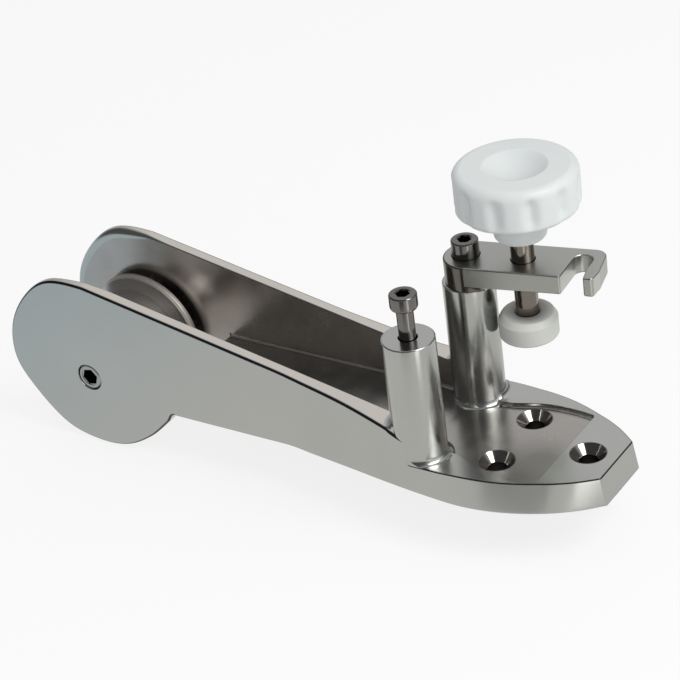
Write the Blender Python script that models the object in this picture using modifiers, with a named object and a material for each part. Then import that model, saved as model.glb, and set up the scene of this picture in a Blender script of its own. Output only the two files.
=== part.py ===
# Bow roller with a swinging latch arm and a screw clamp.
# Metres, +Z up. The deck plane is z = 0, the nose points to -X and the tail to +X.
# The two posts stand at x = 0, the near one at -Y and the far one at +Y.

from math import atan2, cos, degrees, pi, radians, sin, sqrt

import bmesh
import bpy
from mathutils import Matrix, Vector

MM = 0.001

# Fits and resolution
GAP = 0.3 * MM              # left between pieces that touch
OVERLAP = 2.0 * MM          # how far joined shapes run into each other
STEPS_LARGE = 64            # round posts and the roller
STEPS_MIDDLE = 48
STEPS_SMALL = 32            # round screws, holes and rings

# Cast frame
CHANNEL_WIDTH = 49.0 * MM
CHEEK_WALL = 6.2 * MM
RIM_HEIGHT = 14.3 * MM      # also the floor of the chain channel and the tail pad
RECESS_DEPTH = 2.0 * MM     # floor round the side screw holes, below the rim
CHEEK_AT_POST = 27.0 * MM   # cheek height where its top edge reaches the posts
CHEEK_SLOPE = 0.196         # rise of the top edge for each unit towards the nose
TAIL_X = 89.0 * MM
TAIL_HALF = 16.0 * MM
TAIL_DRAFT = 2.5 * MM       # how far the tail face leans in at rim height
BASE_SPREAD = 2.6 * MM      # how far the widest part of the plate passes the posts
BASE_WIDEST_X = 27.0 * MM
FLARE_START_X = -78.0 * MM
RIM_DRAFT = 3.2 * MM        # how far the side leans in at rim height, beside the recess
CHEEK_DRAFT = 0.08          # lean of the flared cheeks for each unit of height
UNDERSIDE_WALL = 6.5 * MM
SKIN = 5.0 * MM             # floor thickness over the hollow underside
RIB = 12.0 * MM             # cross rib between the posts
STEP_X = 60.8 * MM          # where the recess ends at the tail pad

# Posts
POST_RADIUS = 12.5 * MM
POST_IN_CHEEK = 3.0 * MM    # from the channel's wall out to the post's axis
POST_TOP = 76.0 * MM
POST_FILLET = 4.5 * MM
POST_EDGE = 0.7 * MM
POST_BORE_DEPTH = 45.0 * MM

# Deck screws, M8 countersunk
HOLE_RADIUS = 4.5 * MM
SINK_RADIUS = 8.5 * MM
SIDE_HOLE_X = 34.6 * MM
FAR_HOLE_SHIFT = 0.9 * MM   # the far hole sits this much nearer the middle
SIDE_HOLE_Y = 18.7 * MM
TAIL_HOLE_X = 72.0 * MM
BOSS_WALL = 4.5 * MM

# Roller and its axle
AXLE_X = -193.4 * MM
AXLE_Z = 10.3 * MM
AXLE_RADIUS = 6.75 * MM
AXLE_SOCKET = 8.0 * MM      # across flats
AXLE_SOCKET_DEPTH = 5.0 * MM
AXLE_SINK = 0.3 * MM        # how far its ends lie below the cheeks
ROLLER_RADIUS = 32.0 * MM
ROLLER_ROOT = 17.0 * MM     # radius at the bottom of the groove
RIM_BAND = 4.2 * MM         # width of each rim's round face
GROOVE_RADIUS = 9.5 * MM    # round bottom of the groove
WASHER_THICK = 1.0 * MM
WASHER_RADIUS = 11.5 * MM
BUSH_RADIUS = 9.5 * MM
BUSH_FLANGE_RADIUS = 12.5 * MM
BUSH_FLANGE = 1.5 * MM
BUSH_SHARE = 0.8            # of half the roller's width
FLOOR_FRONT_X = -144.3 * MM

# M8 socket cap screws
SCREW_RADIUS = 4.0 * MM
HEAD_RADIUS = 6.5 * MM
HEAD_HEIGHT = 8.0 * MM
SOCKET_FLATS = 6.0 * MM
SOCKET_DEPTH = 4.0 * MM
HEAD_CHAMFER = 0.8 * MM
LOCK_LIFT = 15.0 * MM       # under the head of the lock screw, above its post
LOCK_LENGTH = 45.0 * MM
PIVOT_LENGTH = 50.0 * MM

# Latch arm
ARM_ANGLE = radians(12.0)   # from +X, as it stands open
ARM_THICK = 9.6 * MM
EYE_HEIGHT = 12.8 * MM
BOSS_EDGE = 0.5 * MM
ARM_HALF = 13.3 * MM
ARM_END_SHIFT = 2.6 * MM    # centre of the round end, past the pivot
ARM_CORNER = 6.0 * MM
SLOT_CLEARANCE = 0.6 * MM
SLOT_END_W = 3.2 * MM       # slot end past the arm's centre line
HOOK_WALL = 6.6 * MM
MOUTH_FLARE = 2.0 * MM
SLEEVE_WALL = 2.0 * MM

# Clamp screw, knob and pad
CLAMP_RADIUS = 5.5 * MM
CLAMP_DROP = 12.0 * MM      # from the knob's collar down to the arm
PAD_DROP = 18.4 * MM        # from the arm down to the pad
PAD_HEIGHT = 12.0 * MM
PAD_POST_CLEARANCE = 1.0 * MM
PAD_TOP_RADIUS = 12.2 * MM
PAD_CONE = 3.0 * MM
PAD_FLOOR = 4.0 * MM
CLIP_THICK = 1.2 * MM
CLIP_WALL = 2.0 * MM
CLIP_GROOVE = 1.0 * MM
KNOB_RADIUS = 29.0 * MM
KNOB_HEAD = 20.9 * MM
KNOB_COLLAR = 15.5 * MM
COLLAR_RADIUS = 12.3 * MM
KNOB_LOBES = 11
SCALLOP_DEPTH = 1.6 * MM
SCALLOP_TURN = radians(-15.3)
DISH_RADIUS = 14.8 * MM
DISH_DEPTH = 5.0 * MM
INSERT_FLATS = 16.0 * MM
INSERT_HEIGHT = 14.0 * MM

# Worked out from the sizes above
CHANNEL_HALF = CHANNEL_WIDTH / 2
CHEEK_OUT = CHANNEL_HALF + CHEEK_WALL
CHANNEL_FLOOR = RIM_HEIGHT
DECK_FLOOR = RIM_HEIGHT - RECESS_DEPTH
POST_OFFSET = CHANNEL_HALF + POST_IN_CHEEK
BASE_HALF = POST_OFFSET + POST_RADIUS + BASE_SPREAD
ARM_BOTTOM = POST_TOP + GAP + EYE_HEIGHT - ARM_THICK
ARM_TOP = POST_TOP + GAP + EYE_HEIGHT
SLEEVE_INNER = SCREW_RADIUS + GAP
SLEEVE_OUTER = SLEEVE_INNER + SLEEVE_WALL
LATCH_REACH = 2 * POST_OFFSET
CLAMP_REACH = POST_OFFSET
PAD_RADIUS = CLAMP_REACH - POST_RADIUS - PAD_POST_CLEARANCE
KNOB_BOTTOM = ARM_TOP + CLAMP_DROP
PAD_TOP = ARM_BOTTOM - PAD_DROP
PAD_BOTTOM = PAD_TOP - PAD_HEIGHT
CLAMP_X = CLAMP_REACH * cos(ARM_ANGLE)
CLAMP_Y = POST_OFFSET + CLAMP_REACH * sin(ARM_ANGLE)
ROLLER_HALF = CHANNEL_HALF - 3 * GAP - WASHER_THICK - BUSH_FLANGE
BUSH_LENGTH = ROLLER_HALF * BUSH_SHARE
AXLE = (AXLE_X, 0, AXLE_Z)
CLAMP = (CLAMP_X, CLAMP_Y, 0)
PIVOT = (0, POST_OFFSET, 0)
OPEN_TURN = Matrix.Rotation(ARM_ANGLE, 4, "Z")
ALONG_Y = Matrix.Rotation(radians(90), 4, "X")    # turns an upright piece's top to the near side
AGAINST_Y = Matrix.Rotation(radians(-90), 4, "X")


def clear_scene():
    for item in list(bpy.data.objects):
        bpy.data.objects.remove(item, do_unlink=True)


def new_collection(name):
    made = bpy.data.collections.new(name)
    bpy.context.scene.collection.children.link(made)
    return made


def material(name, colour, metallic, roughness):
    made = bpy.data.materials.new(name)
    made.use_nodes = True
    shader = made.node_tree.nodes["Principled BSDF"]
    shader.inputs["Base Color"].default_value = (*colour, 1.0)
    shader.inputs["Metallic"].default_value = metallic
    shader.inputs["Roughness"].default_value = roughness
    return made


def add_object(name, mesh, finish=None):
    """Puts a mesh in the parts collection, or among the cutters when it has no finish."""
    item = bpy.data.objects.new(name, mesh)
    if finish:
        mesh.materials.clear()
        mesh.materials.append(finish)
        parts.objects.link(item)
    else:
        cutters.objects.link(item)
        item.hide_render = True
        item.display_type = "WIRE"
    return item


def combine(item, other, operation):
    """Cuts, joins or intersects with another object, and leaves flat triangles for the next step."""
    change = item.modifiers.new(operation.lower(), "BOOLEAN")
    change.operation = operation
    change.object = other
    change.solver = "EXACT"
    item.modifiers.new("triangles", "TRIANGULATE")
    return item


def cut(item, *tools):
    for tool in tools:
        combine(item, tool, "DIFFERENCE")
    return item


def join(item, *others):
    for other in others:
        combine(item, other, "UNION")
    return item


def settle(item):
    """Replaces an object's mesh by its evaluated one, so that it is a plain mesh again."""
    bpy.context.view_layer.update()
    seen = item.evaluated_get(bpy.context.evaluated_depsgraph_get())
    mesh = bpy.data.meshes.new_from_object(seen)
    item.modifiers.clear()
    item.data = mesh
    return item


def shade(item, angle=30):
    item.data.shade_smooth()
    item.data.set_sharp_from_angle(angle=radians(angle))
    return item


def put(item, place, tilt=None):
    """Turns a piece's mesh and sets its origin, which stays on the axis it turns about."""
    if tilt:
        item.data.transform(tilt)
    item.location = place
    return item


def turned(name, profile, steps, finish=None, place=(0, 0, 0), tilt=None):
    """A turned solid: (radius, height) points from the top down the outer side, closed over the axis."""
    mesh = bpy.data.meshes.new(name)
    work = bmesh.new()
    points = [work.verts.new((radius, 0, height)) for radius, height in profile]
    for i, first in enumerate(points):
        following = (i + 1) % len(points)
        if profile[i][0] > 0 or profile[following][0] > 0:
            work.edges.new((first, points[following]))
    work.to_mesh(mesh)
    work.free()
    item = add_object(name, mesh, finish)
    spin = item.modifiers.new("spin", "SCREW")
    spin.axis = "Z"
    spin.steps = spin.render_steps = int(steps)
    spin.use_merge_vertices = True
    spin.merge_threshold = 0.00001
    spin.use_smooth_shade = True
    settle(item)
    return shade(put(item, place, tilt))


def plate(name, outline, low, high, finish=None, place=(0, 0, 0), tilt=None):
    """A flat outline in x and y, as a 2D curve extruded between two heights."""
    curve = bpy.data.curves.new(name, "CURVE")
    curve.dimensions = "2D"
    curve.fill_mode = "BOTH"
    curve.extrude = (high - low) / 2
    spline = curve.splines.new("POLY")
    spline.points.add(len(outline) - 1)
    for point, (x, y) in zip(spline.points, outline):
        point.co = (x, y, 0, 1)
    spline.use_cyclic_u = True
    drawn = bpy.data.objects.new(name, curve)
    cutters.objects.link(drawn)
    bpy.context.view_layer.update()
    seen = drawn.evaluated_get(bpy.context.evaluated_depsgraph_get())
    mesh = bpy.data.meshes.new_from_object(seen)
    work = bmesh.new()
    work.from_mesh(mesh)
    bmesh.ops.remove_doubles(work, verts=work.verts, dist=0.000001)
    bmesh.ops.recalc_face_normals(work, faces=work.faces)
    bmesh.ops.translate(work, vec=(0, 0, (low + high) / 2), verts=work.verts)
    work.to_mesh(mesh)
    work.free()
    bpy.data.objects.remove(drawn)
    return put(add_object(name, mesh, finish), place, tilt)


def side_plate(name, outline, half_width, finish=None):
    """A plate whose outline is drawn in x and z, and which runs across the channel."""
    return plate(name, outline, -half_width, half_width, finish, tilt=ALONG_Y)


def rod(name, radius, low, high, x, y, steps=STEPS_SMALL):
    """A plain round cutter or core that stands upright."""
    return turned(name, [(0, high), (radius, high), (radius, low), (0, low)], steps, None, (x, y, 0))


def hexagon(name, flats, low, high, finish=None, place=(0, 0, 0), tilt=None):
    """A hexagonal prism, for sockets and the insert."""
    mesh = bpy.data.meshes.new(name)
    work = bmesh.new()
    bmesh.ops.create_cone(work, cap_ends=True, segments=6, radius1=flats / sqrt(3),
                          radius2=flats / sqrt(3), depth=high - low)
    bmesh.ops.translate(work, vec=(0, 0, (low + high) / 2), verts=work.verts)
    work.to_mesh(mesh)
    work.free()
    return put(add_object(name, mesh, finish), place, tilt)


def arc(centre, radius, start, end, steps):
    """Points on an arc, from one angle to another in degrees, both ends included."""
    angles = [radians(start + (end - start) * i / steps) for i in range(steps + 1)]
    return [(centre[0] + radius * cos(a), centre[1] + radius * sin(a)) for a in angles]


def smooth(points, steps):
    """Points on the Catmull-Rom curve that passes through the named ones."""
    ends = [points[0]] + list(points) + [points[-1]]
    found = []
    for before, first, second, after in zip(ends, ends[1:], ends[2:], ends[3:]):
        for i in range(steps):
            t = i / steps
            found.append(tuple(
                0.5 * (2 * b + (c - a) * t + (2 * a - 5 * b + 4 * c - d) * t * t
                       + (3 * b - a - 3 * c + d) * t ** 3)
                for a, b, c, d in zip(before, first, second, after)))
    return found + [tuple(points[-1])]


def cheek_top(x):
    """Height of the cheeks' sloping top edge."""
    return CHEEK_AT_POST - CHEEK_SLOPE * x


def nose_outline():
    """The rounded nose and the lobe under it, from the top edge round to the notch."""
    top_x = AXLE_X + 6 * MM
    round_offsets = ((-17, 52.2), (-33.5, 40.5), (-45.5, 22), (-48, 1.5), (-39, -15.5),
                     (-22, -32.5), (-3, -38.3), (16, -37), (33, -27.8), (46.5, -15.4))
    named = [(top_x + 25 * MM, cheek_top(top_x + 25 * MM)), (top_x, cheek_top(top_x))]
    named += [(AXLE_X + x * MM, AXLE_Z + z * MM) for x, z in round_offsets]
    return smooth(named, 4)[4:]


def frame_side():
    """Side outline of the casting, in x and z."""
    notch_x = AXLE_X + 51.5 * MM
    notch = arc((notch_x, -3.5 * MM), 3.5 * MM, 150, 90, 4)
    past_tail = TAIL_X + 10 * MM
    outline = nose_outline() + notch
    outline += [(past_tail, 0), (past_tail, RIM_HEIGHT), (0, RIM_HEIGHT), (0, cheek_top(0))]
    return outline


def deck_half_widths():
    """Half width of the casting where it meets the deck, from the flare to the tail."""
    named = [(FLARE_START_X - 20 * MM, CHEEK_OUT), (FLARE_START_X, CHEEK_OUT),
             (-42 * MM, CHEEK_OUT + 4.4 * MM), (-17 * MM, POST_OFFSET + POST_RADIUS - 1.4 * MM),
             (5 * MM, POST_OFFSET + POST_RADIUS + 1.2 * MM), (BASE_WIDEST_X, BASE_HALF),
             (46 * MM, BASE_HALF - 2.6 * MM), (64 * MM, BASE_HALF - 9.0 * MM),
             (78 * MM, BASE_HALF - 17.2 * MM), (TAIL_X, TAIL_HALF)]
    return smooth(named, 3)[3:]


def between(x, named):
    """Straight-line value at x among named (x, value) points."""
    if x <= named[0][0]:
        return named[0][1]
    for (first, low), (second, high) in zip(named, named[1:]):
        if x <= second:
            return low + (high - low) * (x - first) / (second - first)
    return named[-1][1]


def frame_outer(name, cheeks_lean):
    """The outside of the casting: plan outlines at four heights, lofted into one body."""
    deck = deck_half_widths()
    nose_x = AXLE_X - 70 * MM
    top_z = cheek_top(nose_x) + 10 * MM
    past_rim = RIM_HEIGHT + 1 * MM
    rim_lean = CHEEK_DRAFT * RIM_HEIGHT
    lean_at_rim = [(FLARE_START_X, 0), (FLARE_START_X / 2, rim_lean), (-14 * MM, rim_lean),
                   (-4 * MM, 0.4 * MM), (2 * MM, 0.7 * MM), (BASE_WIDEST_X - 12 * MM, RIM_DRAFT * 0.6),
                   (BASE_WIDEST_X, RIM_DRAFT), (TAIL_X - 26 * MM, RIM_DRAFT * 0.94),
                   (TAIL_X - 21 * MM, RIM_DRAFT * 0.8), (TAIL_X - 11 * MM, RIM_DRAFT * 0.47), (TAIL_X, 0)]
    lean_above = [(FLARE_START_X, 0), (FLARE_START_X / 2, CHEEK_DRAFT), (-14 * MM, CHEEK_DRAFT), (0, 0)]

    def ring(height):
        rise = min(max(height, 0.0), past_rim) / RIM_HEIGHT
        above = max(height - past_rim, 0.0) if cheeks_lean else 0.0
        side = [(nose_x, CHEEK_OUT)]
        for x, half in deck:
            lean = between(x, lean_at_rim) * rise + between(x, lean_above) * above
            back = TAIL_DRAFT * rise * max(x, 0.0) / TAIL_X
            side.append((x - back, half - lean))
        return [(x, y, height) for x, y in side] + [(x, -y, height) for x, y in reversed(side)]

    work = bmesh.new()
    levels = [ring(z) for z in (-60 * MM, -1 * MM, past_rim, top_z)]
    rows = [[work.verts.new(point) for point in level] for level in levels]
    count = len(rows[0])
    for low, high in zip(rows, rows[1:]):
        for i in range(count):
            j = (i + 1) % count
            work.faces.new((low[i], low[j], high[j], high[i]))
    work.faces.new(rows[0])
    work.faces.new(rows[-1])
    bmesh.ops.recalc_face_normals(work, faces=work.faces)
    bmesh.ops.triangulate(work, faces=work.faces)
    mesh = bpy.data.meshes.new(name)
    work.to_mesh(mesh)
    work.free()
    return add_object(name, mesh)


def recess_outline():
    """Plan of the recessed floor: the channel between the posts, widening to a narrow rim."""
    near = [(8 * MM, CHANNEL_HALF - 1.5 * MM), (18 * MM, CHANNEL_HALF - 0.5 * MM)]
    near += [(x * MM, BASE_HALF - rim * MM)
             for x, rim in ((26, 14.5), (31.3, 12.0), (37, 10.7), (46.3, 9.8), (55, 10.0))]
    far = [(8 * MM, CHANNEL_HALF - 1.9 * MM), (18 * MM, CHANNEL_HALF - 1.3 * MM)]
    far += [(x * MM, BASE_HALF - rim * MM)
            for x, rim in ((22, 18.4), (28, 16.2), (34.6, 14.2), (40.6, 13.3), (47.5, 13.1), (54, 13.3))]
    near = smooth(near + [(STEP_X, BASE_HALF - 12.4 * MM)], 2)
    far = smooth(far + [(STEP_X, BASE_HALF - 14.2 * MM)], 2)
    return ([(-1 * MM, far[0][1])] + far + [(x, -y) for x, y in reversed(near)]
            + [(-1 * MM, -near[0][1])])


def channel_side():
    """Side view of the space between the cheeks: over the floor, and all of it at the roller."""
    past_nose = AXLE_X - 90 * MM
    high = cheek_top(past_nose) + 20 * MM
    return [(past_nose, -80 * MM), (FLOOR_FRONT_X, -80 * MM), (FLOOR_FRONT_X, CHANNEL_FLOOR),
            (-20 * MM, CHANNEL_FLOOR), (1 * MM, DECK_FLOOR + 0.1 * MM), (1 * MM, high),
            (past_nose, high)]


def front_pocket():
    """Hollow under the channel floor, open to the deck."""
    half = CHANNEL_HALF
    front, rear, corner = FLOOR_FRONT_X + UNDERSIDE_WALL, -RIB / 2 - POST_RADIUS, 6 * MM
    outline = []
    for x, y, start in ((rear - corner, half - corner, 90), (front + corner, half - corner, 180),
                        (front + corner, corner - half, 270), (rear - corner, corner - half, 360)):
        outline += arc((x, y), corner, start - 90, start, 4)
    return plate("front_pocket", outline, -5 * MM, CHANNEL_FLOOR - SKIN)


def rear_pocket():
    """Hollow round the side screw bosses, between the post rib and the tail pad."""
    top = DECK_FLOOR - SKIN
    half = BASE_HALF - UNDERSIDE_WALL - RIM_DRAFT
    named = [(POST_RADIUS + POST_FILLET + 1.5 * MM, half * 0.8), (27 * MM, half * 0.95),
             (40 * MM, half * 0.92), (STEP_X - 5 * MM, half * 0.72)]
    side = smooth(named, 3)
    pocket = plate("rear_pocket", side + [(x, -y) for x, y in reversed(side)], -5 * MM, top)
    boss = HOLE_RADIUS + BOSS_WALL
    for name, y in (("near", -SIDE_HOLE_Y), ("far", SIDE_HOLE_Y - FAR_HOLE_SHIFT)):
        cut(pocket, rod(f"{name}_boss", boss, -10 * MM, 10 * MM, SIDE_HOLE_X, y))
    return pocket


def screw_hole(name, x, y, floor):
    """Through hole with a 90 degree countersink."""
    sink = SINK_RADIUS - HOLE_RADIUS
    profile = [(0, floor + OVERLAP), (SINK_RADIUS + OVERLAP, floor + OVERLAP),
               (HOLE_RADIUS, floor - sink),
               (HOLE_RADIUS, -OVERLAP), (0, -OVERLAP)]
    return turned(name, profile, STEPS_SMALL, None, (x, y, 0))


def post(name, y, outer):
    """Round post with a broken top edge and a foot fillet, kept inside the casting's outside."""
    sunk = DECK_FLOOR - 0.2 * MM
    foot = arc((POST_RADIUS + POST_FILLET, sunk + POST_FILLET), POST_FILLET, 180, 270, 5)
    profile = [(0, POST_TOP), (POST_RADIUS - POST_EDGE, POST_TOP),
               (POST_RADIUS, POST_TOP - POST_EDGE)] + foot
    profile += [(POST_RADIUS + POST_FILLET, OVERLAP), (0, OVERLAP)]
    return combine(turned(name, profile, STEPS_LARGE, None, (0, y, 0)), outer, "INTERSECT")


def make_frame():
    """The casting: outside and side outline met, hollowed, then posts and holes."""
    frame = side_plate("roller_frame", frame_side(), BASE_HALF + 10 * MM, steel_cast)
    combine(frame, frame_outer("frame_outside", True), "INTERSECT")
    upright = frame_outer("post_outside", False)
    upright.scale.y = 1 - 0.1 * MM / BASE_HALF
    channel = side_plate("channel_space", channel_side(), CHANNEL_HALF)
    recess = plate("base_recess", recess_outline(), DECK_FLOOR, RIM_HEIGHT + 60 * MM)
    cut(frame, channel, recess, front_pocket(), rear_pocket())
    posts = (("near", -POST_OFFSET), ("far", POST_OFFSET))
    join(frame, *[post(f"{name}_post", y, upright) for name, y in posts])
    cut(frame, *[rod(f"{name}_thread", SCREW_RADIUS + GAP, POST_TOP - POST_BORE_DEPTH,
                     POST_TOP + OVERLAP, 0, y) for name, y in posts])
    cut(frame, screw_hole("near_hole", SIDE_HOLE_X, -SIDE_HOLE_Y, DECK_FLOOR),
        screw_hole("far_hole", SIDE_HOLE_X, SIDE_HOLE_Y - FAR_HOLE_SHIFT, DECK_FLOOR),
        screw_hole("tail_hole", TAIL_HOLE_X, 0, RIM_HEIGHT))
    axle_hole = turned("axle_hole", [(0, 60 * MM), (AXLE_RADIUS + GAP, 60 * MM),
                                     (AXLE_RADIUS + GAP, -60 * MM), (0, -60 * MM)],
                       STEPS_SMALL, None, AXLE, ALONG_Y)
    cut(frame, axle_hole)
    return shade(settle(frame))


def groove_profile():
    """Half of the roller's outside, from its middle to its face, as (radius, distance)."""
    slope_top = ROLLER_HALF - RIM_BAND
    turn = atan2(ROLLER_RADIUS - ROLLER_ROOT - GROOVE_RADIUS * 0.3, slope_top - GROOVE_RADIUS * 0.7)
    reach = degrees(pi / 2 - turn)
    bottom = [(ROLLER_ROOT + GROOVE_RADIUS - r, s)
              for s, r in arc((0, 0), GROOVE_RADIUS, 90, reach, 5)]
    edge = 1.2 * MM
    rim = [(ROLLER_RADIUS - edge, slope_top), (ROLLER_RADIUS, slope_top + edge),
           (ROLLER_RADIUS, ROLLER_HALF - edge), (ROLLER_RADIUS - edge, ROLLER_HALF)]
    return bottom + rim


def make_roller():
    """Grooved roller, bored for its bushes and cut back for their flanges."""
    half = groove_profile()
    bore = BUSH_RADIUS + GAP
    outside = [(r, s) for r, s in reversed(half)] + [(r, -s) for r, s in half[1:]]
    profile = [(bore, ROLLER_HALF)] + outside + [(bore, -ROLLER_HALF)]
    return turned("roller", profile, STEPS_LARGE, steel_roller, AXLE, ALONG_Y)


def make_bush(name, side):
    """Flanged bearing bush, pressed into one end of the roller."""
    inner = AXLE_RADIUS + GAP
    face = ROLLER_HALF + GAP
    profile = [(inner, face + BUSH_FLANGE), (BUSH_FLANGE_RADIUS, face + BUSH_FLANGE),
               (BUSH_FLANGE_RADIUS, face), (BUSH_RADIUS, face),
               (BUSH_RADIUS, face - BUSH_LENGTH), (inner, face - BUSH_LENGTH)]
    return turned(name, profile, STEPS_SMALL, bearing_plastic, AXLE, ALONG_Y if side < 0 else AGAINST_Y)


def make_washer(name, side):
    """Thrust washer between a bush flange and its cheek."""
    outer = CHANNEL_HALF - GAP
    inner = AXLE_RADIUS + GAP
    profile = [(inner, outer), (WASHER_RADIUS, outer), (WASHER_RADIUS, outer - WASHER_THICK),
               (inner, outer - WASHER_THICK)]
    return turned(name, profile, STEPS_SMALL, steel_screw, AXLE, ALONG_Y if side < 0 else AGAINST_Y)


def make_axle():
    """Axle pin, flush in both cheeks, with a hexagonal socket in its near end."""
    end = CHEEK_OUT - AXLE_SINK
    edge = 0.6 * MM
    profile = [(0, end), (AXLE_RADIUS - edge, end), (AXLE_RADIUS, end - edge),
               (AXLE_RADIUS, edge - end), (AXLE_RADIUS - edge, -end), (0, -end)]
    axle = turned("axle_pin", profile, STEPS_SMALL, steel_screw, AXLE, ALONG_Y)
    socket = hexagon("axle_socket", AXLE_SOCKET, end - AXLE_SOCKET_DEPTH, end + OVERLAP,
                     None, AXLE, ALONG_Y)
    return shade(settle(cut(axle, socket)))


def make_cap_screw(name, y, seat, length):
    """Socket cap screw that stands in a post with the underside of its head at seat."""
    top = seat + HEAD_HEIGHT
    tip = seat - length
    profile = [(0, top), (HEAD_RADIUS - HEAD_CHAMFER, top), (HEAD_RADIUS, top - HEAD_CHAMFER),
               (HEAD_RADIUS, seat), (SCREW_RADIUS, seat), (SCREW_RADIUS, tip + HEAD_CHAMFER),
               (SCREW_RADIUS - HEAD_CHAMFER, tip), (0, tip)]
    screw = turned(name, profile, STEPS_SMALL, steel_screw, (0, y, 0))
    socket = hexagon(f"{name}_socket", SOCKET_FLATS, top - SOCKET_DEPTH, top + OVERLAP,
                     None, (0, y, 0))
    return shade(settle(cut(screw, socket)))


def slot_points():
    """Slot end centre and mouth centre, in the arm's own u and w, on the arc round the pivot."""
    past = ARM_HALF + OVERLAP
    end = (sqrt(LATCH_REACH ** 2 - SLOT_END_W ** 2), SLOT_END_W)
    mouth = (sqrt(LATCH_REACH ** 2 - past ** 2), -past)
    return Vector(end), Vector(mouth)


def arm_outline():
    """Plan of the latch arm, round at the pivot and squared off at the hook."""
    tip = LATCH_REACH + SCREW_RADIUS + SLOT_CLEARANCE + HOOK_WALL - 1.5 * MM
    corner = (tip - ARM_CORNER, ARM_HALF - ARM_CORNER)
    outline = arc((ARM_END_SHIFT, 0), ARM_HALF, 90, 270, 16)
    outline += [(tip - 1.0 * MM, -ARM_HALF), (tip + 0.4 * MM, -ARM_HALF * 0.45)]
    outline += arc(corner, ARM_CORNER, 0, 90, 6)
    return outline


def slot_cutter():
    """Open slot for the lock screw: parallel walls, a round end and a flared mouth."""
    end, mouth = slot_points()
    half = SCREW_RADIUS + SLOT_CLEARANCE
    along = (mouth - end).normalized()
    side = Vector((-along.y, along.x))
    start = degrees(atan2(-side.y, -side.x))
    outline = [tuple(mouth - side * half), *arc(end, half, start, start - 180, 12)]
    neck = end + along * SLOT_END_W * 2.5
    outline += [tuple(neck + side * half), tuple(mouth + side * (half + MOUTH_FLARE))]
    return plate("arm_slot", outline, ARM_BOTTOM - 5 * MM, ARM_TOP + 5 * MM, None, PIVOT, OPEN_TURN)


def make_arm():
    """Latch arm: a thick bar on a boss that stands on the far post."""
    arm = plate("latch_arm", arm_outline(), ARM_BOTTOM, ARM_TOP, steel_cast, PIVOT, OPEN_TURN)
    low = POST_TOP + GAP
    wide = ARM_HALF - 0.2 * MM
    centre = (ARM_END_SHIFT * cos(ARM_ANGLE), POST_OFFSET + ARM_END_SHIFT * sin(ARM_ANGLE), 0)
    profile = [(0, ARM_BOTTOM + OVERLAP), (wide, ARM_BOTTOM + OVERLAP), (wide, low + BOSS_EDGE),
               (wide - BOSS_EDGE, low), (0, low)]
    boss = turned("eye_boss", profile, STEPS_MIDDLE, None, centre)
    join(arm, boss)
    eye = rod("eye_bore", SLEEVE_OUTER + GAP, low - OVERLAP, ARM_TOP + OVERLAP, 0, POST_OFFSET)
    thread = rod("clamp_thread", CLAMP_RADIUS + GAP, ARM_BOTTOM - OVERLAP, ARM_TOP + OVERLAP,
                 CLAMP_X, CLAMP_Y)
    cut(arm, eye, thread, slot_cutter())
    return shade(settle(arm))


def make_sleeve():
    """Distance sleeve in the arm's eye."""
    low, high = POST_TOP + GAP, ARM_TOP
    profile = [(SLEEVE_INNER, high), (SLEEVE_OUTER, high), (SLEEVE_OUTER, low), (SLEEVE_INNER, low)]
    return turned("pivot_sleeve", profile, STEPS_SMALL, steel_screw, (0, POST_OFFSET, 0))


def make_clamp_screw():
    """Stud of the clamp: into the knob's insert above, necked for the clip below."""
    top = KNOB_BOTTOM + INSERT_HEIGHT - 1 * MM
    low = PAD_BOTTOM + PAD_FLOOR + GAP
    clip_low = low + 2.2 * MM
    neck = CLAMP_RADIUS - CLIP_GROOVE
    profile = [(0, top), (CLAMP_RADIUS, top), (CLAMP_RADIUS, clip_low + CLIP_THICK + GAP),
               (neck, clip_low + CLIP_THICK + GAP), (neck, clip_low - GAP),
               (CLAMP_RADIUS, clip_low - GAP), (CLAMP_RADIUS, low), (0, low)]
    return turned("clamp_screw", profile, STEPS_SMALL, steel_screw, CLAMP)


def make_clip():
    """Ring in the stud's neck that keeps the pad on it."""
    low = PAD_BOTTOM + PAD_FLOOR + GAP + 2.2 * MM
    inner = CLAMP_RADIUS - CLIP_GROOVE + GAP
    outer = CLAMP_RADIUS + CLIP_WALL
    profile = [(inner, low + CLIP_THICK), (outer, low + CLIP_THICK), (outer, low), (inner, low)]
    return turned("pad_clip", profile, STEPS_SMALL, steel_screw, CLAMP)


def make_pad():
    """Clamp pad: a thick disc with a coned top, socketed and grooved for the stud's end."""
    hole = CLAMP_RADIUS + GAP
    floor = PAD_BOTTOM + PAD_FLOOR
    clip_low = floor + GAP + 2.2 * MM
    groove = CLAMP_RADIUS + CLIP_WALL + GAP
    edge = 0.8 * MM
    profile = [(hole, PAD_TOP), (PAD_TOP_RADIUS, PAD_TOP), (PAD_RADIUS, PAD_TOP - PAD_CONE),
               (PAD_RADIUS, PAD_BOTTOM + edge), (PAD_RADIUS - edge, PAD_BOTTOM), (0, PAD_BOTTOM),
               (0, floor), (hole, floor), (hole, clip_low - GAP), (groove, clip_low - GAP),
               (groove, clip_low + CLIP_THICK + GAP), (hole, clip_low + CLIP_THICK + GAP)]
    return turned("clamp_pad", profile, STEPS_MIDDLE, white_pad, CLAMP)


def knob_lobes(low, high):
    """Lobed prism: the radius dips at each scallop."""
    outline = []
    steps = KNOB_LOBES * 10
    for i in range(steps):
        angle = 2 * pi * i / steps
        wave = 0.5 + 0.5 * cos(KNOB_LOBES * (angle - SCALLOP_TURN))
        radius = KNOB_RADIUS - SCALLOP_DEPTH * wave ** 3
        outline.append((radius * cos(angle), radius * sin(angle)))
    return plate("knob_lobes", outline, low, high, None, CLAMP)


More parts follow.
